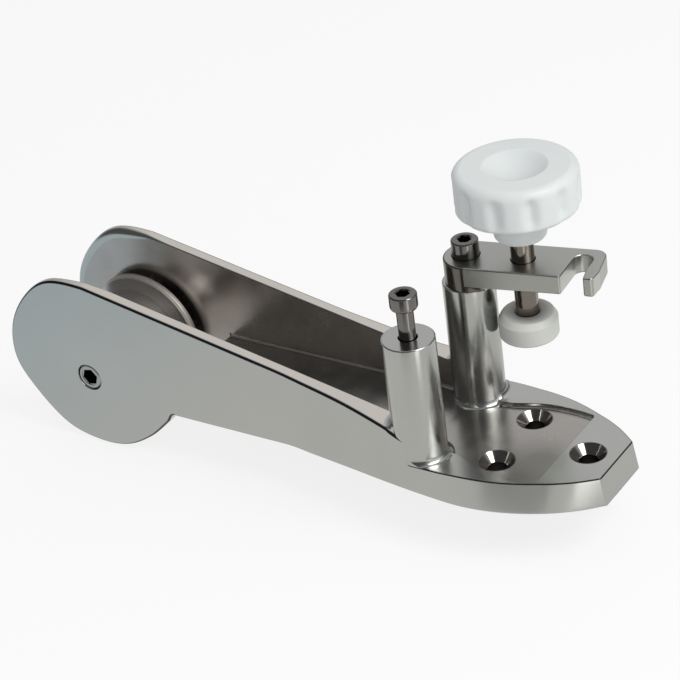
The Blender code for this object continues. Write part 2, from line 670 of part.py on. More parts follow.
def make_knob():
    """Lobed knob with a dished top and a round collar, hollow for its insert."""
    head_low = KNOB_BOTTOM + KNOB_COLLAR
    top = head_low + KNOB_HEAD
    shoulder = 4.5 * MM
    under = 3.0 * MM
    head = [(0, top - DISH_DEPTH)]
    head += [(DISH_RADIUS * s, top - DISH_DEPTH * (1 - s ** 2)) for s in (0.35, 0.6, 0.8, 0.93, 1.0)]
    head += [(KNOB_RADIUS - shoulder + shoulder * sin(radians(a)),
              top - shoulder + shoulder * cos(radians(a))) for a in (0, 30, 60, 90)]
    head += [(KNOB_RADIUS, head_low + under), (KNOB_RADIUS - under, head_low), (0, head_low)]
    knob = turned("clamp_knob", head, STEPS_LARGE, white_knob, CLAMP)
    combine(knob, knob_lobes(head_low - OVERLAP, top + OVERLAP), "INTERSECT")
    edge = 2.6 * MM
    collar = turned("knob_collar", [
        (0, head_low + OVERLAP), (COLLAR_RADIUS + edge, head_low + OVERLAP),
        (COLLAR_RADIUS + edge, head_low), (COLLAR_RADIUS, head_low - edge),
        (COLLAR_RADIUS, KNOB_BOTTOM + edge), (COLLAR_RADIUS - edge, KNOB_BOTTOM),
        (0, KNOB_BOTTOM)], STEPS_MIDDLE, None, CLAMP)
    pocket = hexagon("insert_pocket", INSERT_FLATS + 2 * GAP, KNOB_BOTTOM - OVERLAP,
                     KNOB_BOTTOM + INSERT_HEIGHT + GAP, None, CLAMP)
    return shade(settle(cut(join(knob, collar), pocket)))


def make_insert():
    """Hexagonal threaded insert in the knob's collar."""
    insert = hexagon("knob_insert", INSERT_FLATS, KNOB_BOTTOM, KNOB_BOTTOM + INSERT_HEIGHT,
                     brass, CLAMP)
    bore = rod("insert_bore", CLAMP_RADIUS + GAP, KNOB_BOTTOM - OVERLAP,
               KNOB_BOTTOM + INSERT_HEIGHT + OVERLAP, CLAMP_X, CLAMP_Y)
    return shade(settle(cut(insert, bore)))


clear_scene()
parts = new_collection("bow_roller")
cutters = new_collection("bow_roller_cutters")

steel_cast = material("polished_cast_steel", (0.62, 0.63, 0.62), 1.0, 0.12)
steel_roller = material("turned_steel", (0.55, 0.55, 0.54), 1.0, 0.2)
steel_screw = material("screw_steel", (0.5, 0.49, 0.48), 1.0, 0.25)
bearing_plastic = material("bearing_plastic", (0.08, 0.08, 0.09), 0.0, 0.5)
brass = material("insert_brass", (0.72, 0.55, 0.27), 1.0, 0.3)
white_knob = material("white_knob_plastic", (0.85, 0.88, 0.87), 0.0, 0.4)
white_pad = material("white_pad_plastic", (0.78, 0.8, 0.78), 0.0, 0.5)

make_frame()
make_roller()
make_bush("roller_bush_near", -1)
make_bush("roller_bush_far", 1)
make_washer("thrust_washer_near", -1)
make_washer("thrust_washer_far", 1)
make_axle()
make_arm()
make_sleeve()
make_cap_screw("pivot_screw", POST_OFFSET, ARM_TOP + GAP, PIVOT_LENGTH)
make_cap_screw("lock_screw", -POST_OFFSET, POST_TOP + LOCK_LIFT, LOCK_LENGTH)
make_clamp_screw()
make_knob()
make_insert()
make_pad()
make_clip()
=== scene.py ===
# Bow roller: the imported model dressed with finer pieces, finishes, a floor, lights and a camera.
# Shapes are worked out in millimetres and scaled once, where a piece is made.
# x runs to the tail, y to the pivot post and z up from the deck plane.

from math import atan2, cos, pi, radians, sin, sqrt, tan

import bpy
import numpy as np
from mathutils import Matrix, Vector
from mathutils.geometry import tessellate_polygon


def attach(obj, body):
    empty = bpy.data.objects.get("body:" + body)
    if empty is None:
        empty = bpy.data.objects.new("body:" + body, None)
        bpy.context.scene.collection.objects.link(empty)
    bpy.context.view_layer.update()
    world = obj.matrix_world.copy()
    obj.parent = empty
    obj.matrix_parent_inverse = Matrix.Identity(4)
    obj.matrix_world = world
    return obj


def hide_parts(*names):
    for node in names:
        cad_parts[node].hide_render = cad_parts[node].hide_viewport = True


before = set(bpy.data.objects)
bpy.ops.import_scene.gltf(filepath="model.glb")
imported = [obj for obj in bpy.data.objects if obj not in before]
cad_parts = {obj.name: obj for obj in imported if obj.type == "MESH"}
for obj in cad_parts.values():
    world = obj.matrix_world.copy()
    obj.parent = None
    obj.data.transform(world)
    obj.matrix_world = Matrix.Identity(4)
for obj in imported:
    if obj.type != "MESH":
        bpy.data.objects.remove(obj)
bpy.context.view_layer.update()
print("frame loaded:", len(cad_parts), "nodes")

mm = 0.001
# Finish of each patch of the casting
outerSteel, innerSteel, rawSteel, boreShadeSteel, coneSteel, edgeReflectionSteel, litBandSteel = range(7)
# Finish of the sockets (painted shade), of the roller's rim bands (painted highlight) and of the arm's round
# end (painted dark reflection); their other faces have 0
socketShadeFinish, litRimFinish, roundReflectionFinish = 1, 1, 1
# A grid whose rows close on themselves, and the two ways that a level face looks
ringwise = (False, True)
upwards, downwards = (0, 0, 1), (0, 0, -1)


# Curves

def splineThrough(points, steps):
    # Catmull-Rom: on each span a cubic passes its two ends, with slopes set by the points on either side
    p = np.asarray(points, float)
    p = np.vstack([p[:1], p, p[-1:]])
    t = np.linspace(0, 1, steps, endpoint=False)[None, :, None]
    a, b, c, d = p[:-3, None], p[1:-2, None], p[2:-1, None], p[3:, None]
    q = 0.5 * (2 * b + (c - a) * t + (2 * a - 5 * b + 4 * c - d) * t ** 2
               + (3 * b - a - 3 * c + d) * t ** 3)
    return np.vstack([q.reshape(-1, p.shape[1]), p[-1:]])


def arcPoints(centre, radius, start, end, steps):
    # Points at even angles in degrees: centre plus radius times (cos, sin)
    a = np.radians(np.linspace(start, end, steps + 1))
    return np.stack([centre[0] + radius * np.cos(a), centre[1] + radius * np.sin(a)], 1)


def roundCorners(points, radii, steps=4):
    # Each corner becomes an arc that touches both sides: it starts at radius / tan(half the corner angle).
    # The two ends stay as they are
    p = np.asarray(points, float)
    found = []
    for i in range(len(p)):
        r = radii[i] if np.iterable(radii) else radii
        if i in (0, len(p) - 1) or r <= 0:
            found.append(p[i:i + 1])
            continue
        before, after = p[i - 1] - p[i], p[i + 1] - p[i]
        before, after = before / np.linalg.norm(before), after / np.linalg.norm(after)
        half = np.arccos(np.clip(before @ after, -1, 1)) / 2
        if half > pi / 2 - 0.01:
            found.append(p[i:i + 1])
            continue
        reach = r / tan(half)
        middle = p[i] + (before + after) / np.linalg.norm(before + after) * r / sin(half)
        first, last = p[i] + before * reach - middle, p[i] + after * reach - middle
        start = atan2(first[1], first[0])
        turn = (atan2(last[1], last[0]) - start + pi) % (2 * pi) - pi
        a = start + turn * np.linspace(0, 1, steps + 1)
        found.append(middle + r * np.stack([np.cos(a), np.sin(a)], 1))
    return np.vstack(found)


def inwards(points, closed=True):
    # Unit normals of an outline, to the left of its direction, halved between its two sides
    p = np.asarray(points, float)
    if closed:
        along = np.roll(p, -1, 0) - np.roll(p, 1, 0)
    else:
        along = np.gradient(p, axis=0)
    along /= np.linalg.norm(along, axis=1)[:, None]
    return np.stack([-along[:, 1], along[:, 0]], 1)


# Patches: corner points, triangles, and a normal at each corner of each triangle

def patch(points, triangles, normals, finish=0, flip=False):
    # Gives each corner its point's normal; a flipped patch faces the other way
    if flip:
        triangles, normals = triangles[:, ::-1], -normals
    return {"points": points, "triangles": triangles, "normals": normals[triangles], "finish": finish}


def gridPatch(points, wrap=(False, False), finish=0, flip=False):
    # Normals are the cross product of the two central differences; a pole takes its neighbours' mean.
    # finish is one number, or one for each strip (a column of them) or for each column of the grid
    def slope(axis):
        # Difference of the two neighbours, across the seam where the grid closes
        if wrap[axis]:
            return np.roll(points, -1, axis) - np.roll(points, 1, axis)
        return np.gradient(points, axis=axis)
    normal = np.cross(slope(0), slope(1))
    for row, beside in ((0, 1), (-1, -2)):
        if np.ptp(points[row], axis=0).max() < 1e-6:
            normal[row] = normal[beside].mean(0)
    size = np.linalg.norm(normal, axis=2, keepdims=True)
    normal = normal / np.maximum(size, 1e-12)
    rows, columns = points.shape[:2]
    i = np.arange(rows if wrap[0] else rows - 1)[:, None]
    j = np.arange(columns if wrap[1] else columns - 1)[None, :]
    k, l = (i + 1) % rows, (j + 1) % columns
    a, b, c, d = [(u * columns + v).ravel() for u, v in ((i, j), (k, j), (k, l), (i, l))]
    triangles = np.concatenate([np.stack([a, b, c], 1), np.stack([a, c, d], 1)])
    kinds = np.tile(np.broadcast_to(finish, (i.size, j.size)).ravel(), 2)
    return patch(points.reshape(-1, 3), triangles, normal.reshape(-1, 3), kinds, flip)


def flatPatch(outline, holes, place, normal, finish=0):
    # A flat region with holes, cut into triangles that all face along normal
    loops = [np.asarray(outline, float)] + [np.asarray(hole, float) for hole in holes]
    found = tessellate_polygon([[Vector((x, y, 0)) for x, y in loop] for loop in loops])
    flat = np.vstack(loops)
    points = place(flat[:, 0], flat[:, 1])
    triangles = np.array(found, int)
    corner = points[triangles]
    facing = np.einsum("ij,j->i", np.cross(corner[:, 1] - corner[:, 0], corner[:, 2] - corner[:, 0]),
                       np.asarray(normal, float))
    triangles[facing < 0] = triangles[facing < 0][:, ::-1]
    return patch(points, triangles, np.tile(np.asarray(normal, float), (len(points), 1)), finish)


def level(height):
    # Plan points placed at one height
    return lambda x, y: np.stack([x, y, np.full_like(x, height)], 1)


def sideways(y):
    # Points of an upright plane, given by x and height
    return lambda x, z: np.stack([x, np.full_like(x, y), z], 1)


def raised(line, height):
    # A plan line at one height
    return np.concatenate([line, np.full((len(line), 1), height)], 1)


def mirrored(found):
    # The same patch on the other side of the plane y = 0
    flip = np.array([1, -1, 1])
    return {"points": found["points"] * flip, "triangles": found["triangles"][:, ::-1],
            "normals": found["normals"][:, ::-1] * flip, "finish": found["finish"]}


def moved(found, matrix):
    # A patch turned and shifted as a whole
    turn, shift = np.array(matrix.to_3x3()), np.array(matrix.translation)
    return {"points": found["points"] @ turn.T + shift, "triangles": found["triangles"],
            "normals": found["normals"] @ turn.T, "finish": found["finish"]}


def moveAll(patches, matrix):
    # Several patches turned and shifted together
    return [moved(found, matrix) for found in patches]


def lathePatch(profile, steps=96, finish=0, flip=False):
    # A profile of (radius, height) from the top down the outer side, turned once about z
    p = np.asarray(profile, float)
    a = np.linspace(0, 2 * pi, steps, endpoint=False)
    points = np.stack([p[:, :1] * np.cos(a), p[:, :1] * np.sin(a),
                       np.repeat(p[:, 1:], steps, 1)], 2)
    return gridPatch(points, ringwise, finish, flip)


def makePiece(name, patches, finishes, body, replaced=()):
    # Patches are joined where their points meet, and keep the normals that were worked out for them
    points, triangles, normals, kinds, start = [], [], [], [], 0
    for found in patches:
        points.append(found["points"])
        triangles.append(found["triangles"] + start)
        normals.append(found["normals"])
        kinds.append(np.full(len(found["triangles"]), found["finish"]))
        start += len(found["points"])
    points, triangles = np.vstack(points), np.vstack(triangles)
    normals, kinds = np.vstack(normals), np.concatenate(kinds)
    _, first, index = np.unique(np.round(points / 0.002).astype(np.int64), axis=0,
                                return_index=True, return_inverse=True)
    triangles = index.reshape(-1)[triangles]
    whole = ((triangles[:, 0] != triangles[:, 1]) & (triangles[:, 1] != triangles[:, 2])
             & (triangles[:, 0] != triangles[:, 2]))
    triangles, normals, kinds = triangles[whole], normals[whole], kinds[whole]
    _, once = np.unique(np.sort(triangles, axis=1), axis=0, return_index=True)
    once = np.sort(once)
    triangles, normals, kinds = triangles[once], normals[once], kinds[once]
    used, index = np.unique(triangles, return_inverse=True)
    triangles, points = index.reshape(-1, 3), points[first][used] * mm
    mesh = bpy.data.meshes.new(name)
    mesh.from_pydata(points.tolist(), [], triangles.tolist())
    mesh.polygons.foreach_set("use_smooth", np.ones(len(triangles), bool))
    mesh.polygons.foreach_set("material_index", kinds.astype(np.int32))
    for finish in finishes:
        mesh.materials.append(finish)
    mesh.update()
    mesh.normals_split_custom_set(normals.reshape(-1, 3).tolist())
    item = bpy.data.objects.new(name, mesh)
    bpy.context.scene.collection.objects.link(item)
    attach(item, body)
    if replaced:
        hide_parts(*replaced)
    return item


# Materials

def linear(code):
    # sRGB hex to linear: the standard curve on each channel
    value = [int(code[k:k + 2], 16) / 255 for k in (1, 3, 5)]
    return [v / 12.92 if v <= 0.04045 else ((v + 0.055) / 1.055) ** 2.4 for v in value] + [1.0]


def addNode(tree, kind, settings=None, links=None):
    # Adds a node, sets its fields and sockets, and links the named sockets to other nodes' outputs
    node = tree.nodes.new(kind)
    for key, value in (settings or {}).items():
        if isinstance(key, int) or key in node.inputs:
            node.inputs[key].default_value = value
        else:
            setattr(node, key, value)
    for key, output in (links or {}).items():
        tree.links.new(output, node.inputs[key])
    return node


def feed(tree, socket, value):
    # A socket takes a number or another node's output
    if isinstance(value, (int, float)):
        socket.default_value = value
    else:
        tree.links.new(value, socket)


def worked(tree, operation, *values):
    # One step of arithmetic on numbers and outputs
    node = addNode(tree, "ShaderNodeMath", {"operation": operation})
    for socket, value in zip(node.inputs, values):
        feed(tree, socket, value)
    return node.outputs[0]


def mixValues(tree, factor, low, high):
    # low where the factor is 0 and high where it is 1, each a number or an output
    mix = addNode(tree, "ShaderNodeMix", {"data_type": "FLOAT"}, {0: factor})
    feed(tree, mix.inputs[2], low)
    feed(tree, mix.inputs[3], high)
    return mix.outputs[0]


def startMaterial(name):
    # A new material with its main shader and a place fixed to the object
    material = bpy.data.materials.new(name)
    material.use_nodes = True
    tree = material.node_tree
    place = addNode(tree, "ShaderNodeTexCoord").outputs["Object"]
    return material, tree, tree.nodes["Principled BSDF"], place


def mixColours(tree, factor, low, high):
    # Blends two hex colours by a factor between 0 and 1
    mix = addNode(tree, "ShaderNodeMix", {"data_type": "RGBA"}, {0: factor})
    mix.inputs[6].default_value = linear(low)
    mix.inputs[7].default_value = linear(high)
    return mix.outputs[2]


def rangeOf(tree, value, low, high, start=0.0, end=1.0, kind="LINEAR"):
    # low at the start and high at the end, in a straight line or eased
    settings = {"interpolation_type": kind, "From Min": start, "From Max": end, "To Min": low, "To Max": high}
    return addNode(tree, "ShaderNodeMapRange", settings, {"Value": value}).outputs["Result"]


def noise(tree, sizeMm, detail, place):
    # Noise fixed to the object, with spots of one size
    return addNode(tree, "ShaderNodeTexNoise", {"Scale": 1 / (sizeMm * mm), "Detail": detail},
                   {"Vector": place}).outputs["Fac"]


def dress(tree, shader, cloud, grain, depthMm, dark, light, roughness, strength):
    # Colour and roughness follow the cloud, and the bump follows the grain
    tree.links.new(mixColours(tree, cloud, dark, light), shader.inputs["Base Color"])
    tree.links.new(rangeOf(tree, cloud, *roughness, 0.3, 0.7), shader.inputs["Roughness"])
    bump = addNode(tree, "ShaderNodeBump", {"Strength": strength, "Distance": depthMm * mm},
                   {"Height": grain})
    tree.links.new(bump.outputs["Normal"], shader.inputs["Normal"])


def polishedSteel(name, cloudMm, grainMm, *look):
    # Steel, ground and buffed: soft cloudy reflections with fine polishing grain
    material, tree, shader, place = startMaterial(name)
    dress(tree, shader, noise(tree, cloudMm, 3.0, place), noise(tree, grainMm, 2.0, place), 0.05, *look)
    shader.inputs["Metallic"].default_value = 1.0
    return material


def turnedMetal(name, centreMm, ringMm, stretch, *look):
    # Machined metal: fine rings left by the tool, seen as a faint ripple round the axis
    material, tree, shader, place = startMaterial(name)
    centre = addNode(tree, "ShaderNodeMapping", {"Location": [-v * mm for v in centreMm]}, {"Vector": place})
    stretched = addNode(tree, "ShaderNodeMapping", {"Scale": stretch}, {"Vector": centre.outputs["Vector"]})
    rings = noise(tree, ringMm, 2.0, stretched.outputs["Vector"])
    dress(tree, shader, rings, rings, 0.03, *look)
    shader.inputs["Metallic"].default_value = 1.0
    return material


def mouldedPlastic(name, cloudMm, grainMm, ior, inner, *look):
    # Opaque plastic: nearly even colour, a soft sheen and a very fine surface grain
    material, tree, shader, place = startMaterial(name)
    dress(tree, shader, noise(tree, cloudMm, 2.0, place), noise(tree, grainMm, 3.0, place), 0.05, *look)
    shader.inputs["IOR"].default_value = ior
    if inner:
        shader.inputs["Subsurface Weight"].default_value = inner
        shader.inputs["Subsurface Radius"].default_value = (1.0, 1.0, 1.0)
        shader.inputs["Subsurface Scale"].default_value = 1.5 * mm
    return material


# Polished steel: size of clouds and of grain in mm, dark and light colour, roughness and bump.
# The first seven finish the casting, in the order of the numbers at the top
polished = {
    # Outer sides, buffed bright
    "buffedCastSteel": (40, 0.7, "#B7B9B6", "#C3C4C1", (0.17, 0.24), 0.12),
    # Channel and recess, mirror polish
    "mirrorCastSteel": (14, 1.2, "#A5A19D", "#BFBCB8", (0.2, 0.28), 0.015),
    # Underside, as blasted
    "blastedCastSteel": (12, 0.6, "#8F908E", "#A5A5A2", (0.4, 0.55), 0.6),
    # Bores, as drilled, painted near black for the shade down the holes
    "boreShadeCastSteel": (5, 0.4, "#2A2A29", "#383736", (0.45, 0.6), 0.4),
    # Countersinks, cut bright
    "countersunkCastSteel": (4, 0.5, "#8D8985", "#A29D98", (0.08, 0.14), 0.06),
    # Rounded edges of the rim, mirror polish, painted dark for the dark reflection along the edges
    "edgeReflectionCastSteel": (10, 0.6, "#4A4947", "#5A5856", (0.12, 0.18), 0.05),
    # Band on top of the cheeks, buffed, with a painted highlight: lighter and warmer than the sides, for the
    # light falling on top
    "litBandCastSteel": (30, 0.7, "#D2CCC4", "#DFDAD2", (0.17, 0.24), 0.12),
    # Latch arm, satin
    "satinArmSteel": (15, 0.6, "#B2B3AF", "#BEBFBB", (0.28, 0.36), 0.12),
    # Round end and boss of the arm, mirror polish, painted dark for the dark reflection on the round side
    "darkBossReflectionSteel": (8, 0.6, "#64605C", "#7C7772", (0.12, 0.2), 0.08),
    # Axle, ground
    "groundPinSteel": (8, 0.5, "#A9A9A7", "#B7B7B4", (0.22, 0.3), 0.15),
    # Walls of the hexagonal sockets, unpolished, painted near black for the shade inside the sockets
    "shadedSocketSteel": (6, 0.4, "#2E2D2C", "#3A3938", (0.3, 0.4), 0.2),
}
# Turned metal: axis and ring size in mm, stretch along the axis, then the same look
onAxle, onStud = (-193.4, 0, 10.3), (26.9, 33.2, 0)
turned = {
    # Roller, turned and polished
    "turnedRollerSteel": (onAxle, 60, (1, 70, 1), "#C6C0BA", "#DAD5CF", (0.24, 0.34), 0.25),
    # Rim bands of the roller, satin, with a painted highlight: lighter and warmer than the rest of the roller
    "litTurnedRimSteel": (onAxle, 60, (1, 70, 1), "#E2DBD3", "#EEE8E1", (0.42, 0.52), 0.2),
    # Screws, polished
    "polishedScrewSteel": ((0, 0, 0), 30, (1, 1, 60), "#6E6C6A", "#888583", (0.1, 0.16), 0.15),
    # Stud, drawn bright
    "drawnStudSteel": (onStud, 30, (1, 1, 60), "#746D67", "#8F877F", (0.08, 0.14), 0.15),
    # Knob's insert, machined brass
    "machinedBrass": (onStud, 20, (1, 1, 50), "#B8944E", "#C9A660", (0.22, 0.32), 0.2),
}
# Plastic: size of clouds and of grain in mm, index of refraction, light let in, then the same look
plastics = {
    # Knob, moulded and satin
    "mouldedKnobPlastic": (25, 0.6, 1.5, 0.15, "#D9DEDE", "#E3E7E6", (0.38, 0.46), 0.1),
    # Pad, turned and matte
    "turnedPadPlastic": (12, 0.5, 1.53, 0.1, "#CFD1CB", "#DBDCD6", (0.45, 0.55), 0.15),
    # Bushes, filled bearing plastic
    "filledBearingPlastic": (8, 0.4, 1.5, 0.0, "#1C1D1F", "#26272A", (0.42, 0.55), 0.15),
}
made = [polishedSteel(name, *values) for name, values in polished.items()]
castFinishes = made[:litBandSteel + 1]
armSteel, bossReflectionSteel, pinSteel, socketShadeSteel = made[litBandSteel + 1:]
rollerSteel, litRimSteel, screwSteel, studSteel, insertBrass = [
    turnedMetal(name, *values) for name, values in turned.items()]
knobPlastic, padPlastic, bearingPlastic = [
    mouldedPlastic(name, *values) for name, values in plastics.items()]
print("materials made")


# The casting's own sizes, as in the solids

cast = {
    "channelHalf": 24.5, "cheekOut": 30.7, "rim": 14.3, "recess": 12.3, "cheekAtPost": 27.0,
    "cheekSlope": 0.196, "axleX": -193.4, "axleZ": 10.3, "axleHole": 7.05, "floorFront": -144.3,
    "notchX": -141.9, "notchRadius": 3.5, "postRadius": 12.5, "postY": 27.5, "postTop": 76.0,
    "postFillet": 3.0, "postEdge": 0.8, "gusset": 3.6, "boreRadius": 4.3, "boreDepth": 45.0,
    "topEdge": 1.5, "rimEdge": 0.5, "innerEdge": 0.6, "bottomEdge": 0.6, "recessEdge": 0.3,
    "recessFillet": 1.2, "stepX": 60.8, "tailX": 89.0, "tailDraft": 2.5, "tailCorner": 1.4,
    "holeRadius": 4.5, "sinkRadius": 8.5, "sinkLip": 0.4, "sideHoleX": 34.6, "nearHoleY": 18.7,
    "farHoleY": 17.8, "tailHole": (72.0, 0.0), "baseHalf": 42.6, "rimDraft": 3.2, "plainX": -84.0,
    "flareX": -78.0, "flareLength": 24.0, "pocketWall": 6.5, "pocketCorner": 6.0, "pocketEnd": -18.5,
    "skin": 5.0, "channelFillet": 1.5, "bossWall": 4.5, "rampX": -20.0, "lipEdge": 0.8,
    "holeChamfer": 0.35, "boreChamfer": 0.4, "stepCorner": 1.8,
    "noseWide": 4.6, "noseDeep": 3.0, "noseEase": 34.0, "noseBehind": 22.0, "postEase": 9.0,
    "postRise": 8.0, "sinkFoot": 0.6, "drillTip": 2.0, "footFront": 30.0, "footBack": 150.0,
}
# Distance from the middle to the edge of the recessed floor, near and far side
nearRecess = ((8, 23.0), (18, 24.0), (26, 28.1), (31.3, 30.6), (37, 31.9), (46.3, 32.8), (55, 32.6),
              (60.8, 30.2))
farRecess = ((8, 22.6), (18, 23.2), (22, 24.2), (28, 26.4), (34.6, 28.4), (40.6, 29.3), (47.5, 29.5),
             (54, 29.3), (60.8, 28.4))
# Nose and lobe, from the top edge round to the notch, measured from the axle's middle
noseOffsets = ((-17, 52.2), (-33.5, 40.5), (-45.5, 22), (-48, 1.5), (-39, -15.5),
               (-22, -32.5), (-3, -38.3), (16, -37), (33, -27.8), (46.5, -15.4))
# Side of the rear hollow under the deck: x, and the share of its widest half
rearHollow = ((18.5, 0.8), (27, 0.95), (40, 0.92), (cast["stepX"] - 5, 0.72))
# Half width at the deck, and how far the wall leans in up to the rim and for each mm above it
deckNamed = [(-98, cast["cheekOut"]), (cast["flareX"], cast["cheekOut"]), (-42, 35.1), (-17, 38.6),
             (5, 41.2), (27, cast["baseHalf"]), (46, 40.0), (64, 33.6), (78, 25.4), (cast["tailX"], 16.0)]
deckCurve = splineThrough(deckNamed, 16)[16:]
rimLeanCurve = splineThrough([(-120, 0), (cast["flareX"], 0), (-39, 1.15), (-14, 1.15), (-4, 0.45),
                              (2, 0.7), (15, 1.95), (27, 3.15), (45, 3.2), (63, 3.0), (68, 2.6),
                              (78, 1.5), (89, 0)], 10)
topLeanCurve = splineThrough([(-120, 0), (cast["flareX"], 0), (-39, 0.08), (-14, 0.08), (0, 0), (89, 0)], 10)


def cheekTop(x):
    # Height of the cheek's top: a straight line that rises towards the nose
    return cast["cheekAtPost"] - cast["cheekSlope"] * np.asarray(x, float)


def noseOutline(steps=14):
    # From the top edge over the rounded nose and the lobe under it, to the notch and the bottom line
    topX = cast["axleX"] + 6
    named = [(topX + 25, cheekTop(topX + 25)), (topX, cheekTop(topX))]
    named += [(cast["axleX"] + x, cast["axleZ"] + z) for x, z in noseOffsets]
    curve = splineThrough(named, steps)[steps:]
    notch = arcPoints((cast["notchX"], -cast["notchRadius"]), cast["notchRadius"], 150, 90, 6)
    return np.vstack([curve, notch])


def smooth(t):
    # 3tt - 2ttt between 0 and 1
    t = np.clip(t, 0, 1)
    return t * t * (3 - 2 * t)


def wallPoint(station, z):
    # The drafted outer wall on the near side: half width at the deck, less the lean at that height.
    # Beside the post, above the rim, it eases on to the post's own side.
    station, z = np.broadcast_arrays(np.asarray(station, float), np.asarray(z, float))
    half = np.interp(station, deckCurve[:, 0], deckCurve[:, 1])
    rise = np.clip(z, 0, cast["rim"] + 1) / cast["rim"]
    above = np.maximum(z - cast["rim"] - 1, 0)
    lean = (np.interp(station, rimLeanCurve[:, 0], rimLeanCurve[:, 1]) * rise
            + np.interp(station, topLeanCurve[:, 0], topLeanCurve[:, 1]) * above)
    # Both start from nothing where the flat cheek ends
    flare = smooth((station - cast["plainX"]) / cast["flareLength"])
    side = cast["cheekOut"] + (half - cast["cheekOut"] - lean) * flare
    ahead, start = cast["postEase"], cast["postRise"]
    share = smooth(np.clip((station + ahead) / ahead, 0, 1) * np.clip((z - start) / start, 0, 1))
    post = cast["postY"] + cast["postRadius"] + 0.02
    side = side + share * np.minimum(post - side, 0) * (station <= 0.001)
    x = station - cast["tailDraft"] * rise * np.maximum(station, 0) / cast["tailX"]
    return np.stack([x, -side, z], -1)


def quarter(steps=6):
    # Shares across and up of a quarter round, from the wall to the flat on top of it
    a = np.linspace(0, pi / 2, steps)
    return 1 - np.cos(a), np.sin(a)


def rearRing(stations, z, inset):
    # Plan of the base at one height: the side, a rounded corner and the tail's end to the middle line
    side = wallPoint(stations, z)[:, :2]
    line = np.vstack([side, [(side[-1, 0], 0.0)]])
    radii = [0] * len(line)
    radii[-2] = cast["tailCorner"]
    line = roundCorners(line, radii, 6)
    if inset:
        line = line + inwards(line, closed=False) * inset
        line[-1, 1] = 0.0
    return line


# Finish of the five strips of a rounded edge, from the side to the top; the middle three carry the painted
# dark edge reflection
edgeKinds = np.array([outerSteel, edgeReflectionSteel, edgeReflectionSteel, edgeReflectionSteel, outerSteel])


def frontWall():
    # Flared part of the cheek's outer side, with its rounded top and bottom edges
    c, r, b = cast, cast["topEdge"], cast["bottomEdge"]
    stations = np.linspace(c["plainX"], 0, 72)
    high = cheekTop(stations)
    across, up = quarter()
    z = [b * (1 - up[::-1, None]) + 0 * high] + [b + (high - r - b) * t for t in np.linspace(0, 1, 16)[1:-1]]
    z = np.vstack([z[0]] + z[1:] + [high - r + r * u for u in up])
    inset = np.r_[b * across[::-1], np.zeros(14), r * across]
    points = wallPoint(stations[None, :], z)
    points[..., 1] += inset[:, None]
    # The rounded top edge carries the painted dark edge reflection
    kinds = np.r_[np.full(len(z) - 1 - len(edgeKinds), outerSteel), edgeKinds][:, None]
    return gridPatch(points, finish=kinds, flip=True), points


def rearWall():
    # Outer side of the base behind the posts, round the tail to the middle line
    c, r, b = cast, cast["rimEdge"], cast["bottomEdge"]
    stations = np.r_[np.linspace(0, c["tailX"] - 3, 90), c["tailX"]]
    across, up = quarter()
    z = np.r_[b * (1 - up[::-1]), np.linspace(b, c["rim"] - r, 9)[1:-1], c["rim"] - r + r * up]
    inset = np.r_[b * across[::-1], np.zeros(7), r * across]
    rings = [rearRing(stations, h, i) for h, i in zip(z, inset)]
    points = np.stack([raised(ring, h) for ring, h in zip(rings, z)])
    # The rounded top edge carries the painted dark edge reflection
    kinds = np.repeat([outerSteel, edgeReflectionSteel], [len(z) - 6, 5])[:, None]
    return gridPatch(points, finish=kinds, flip=True), points


def innerRound(x):
    # Width and depth of the rounding on the cheek's inner edge: small along the top, wide round the nose
    c = cast
    share = smooth((c["axleX"] + c["noseBehind"] - x) / c["noseEase"])
    return [c["innerEdge"] + (c[word] - c["innerEdge"]) * share for word in ("noseWide", "noseDeep")]


def edgeStrip(line, turn, wide, deep, face):
    # Quarter round along the edge of an upright face: inwards by wide and off the face by deep
    across, up = quarter()
    flat = line[None] + (wide[None, :] * (1 - up[:, None]))[..., None] * turn[None]
    return np.stack([flat[..., 0], face + deep[None, :] * across[:, None], flat[..., 1]], 2)


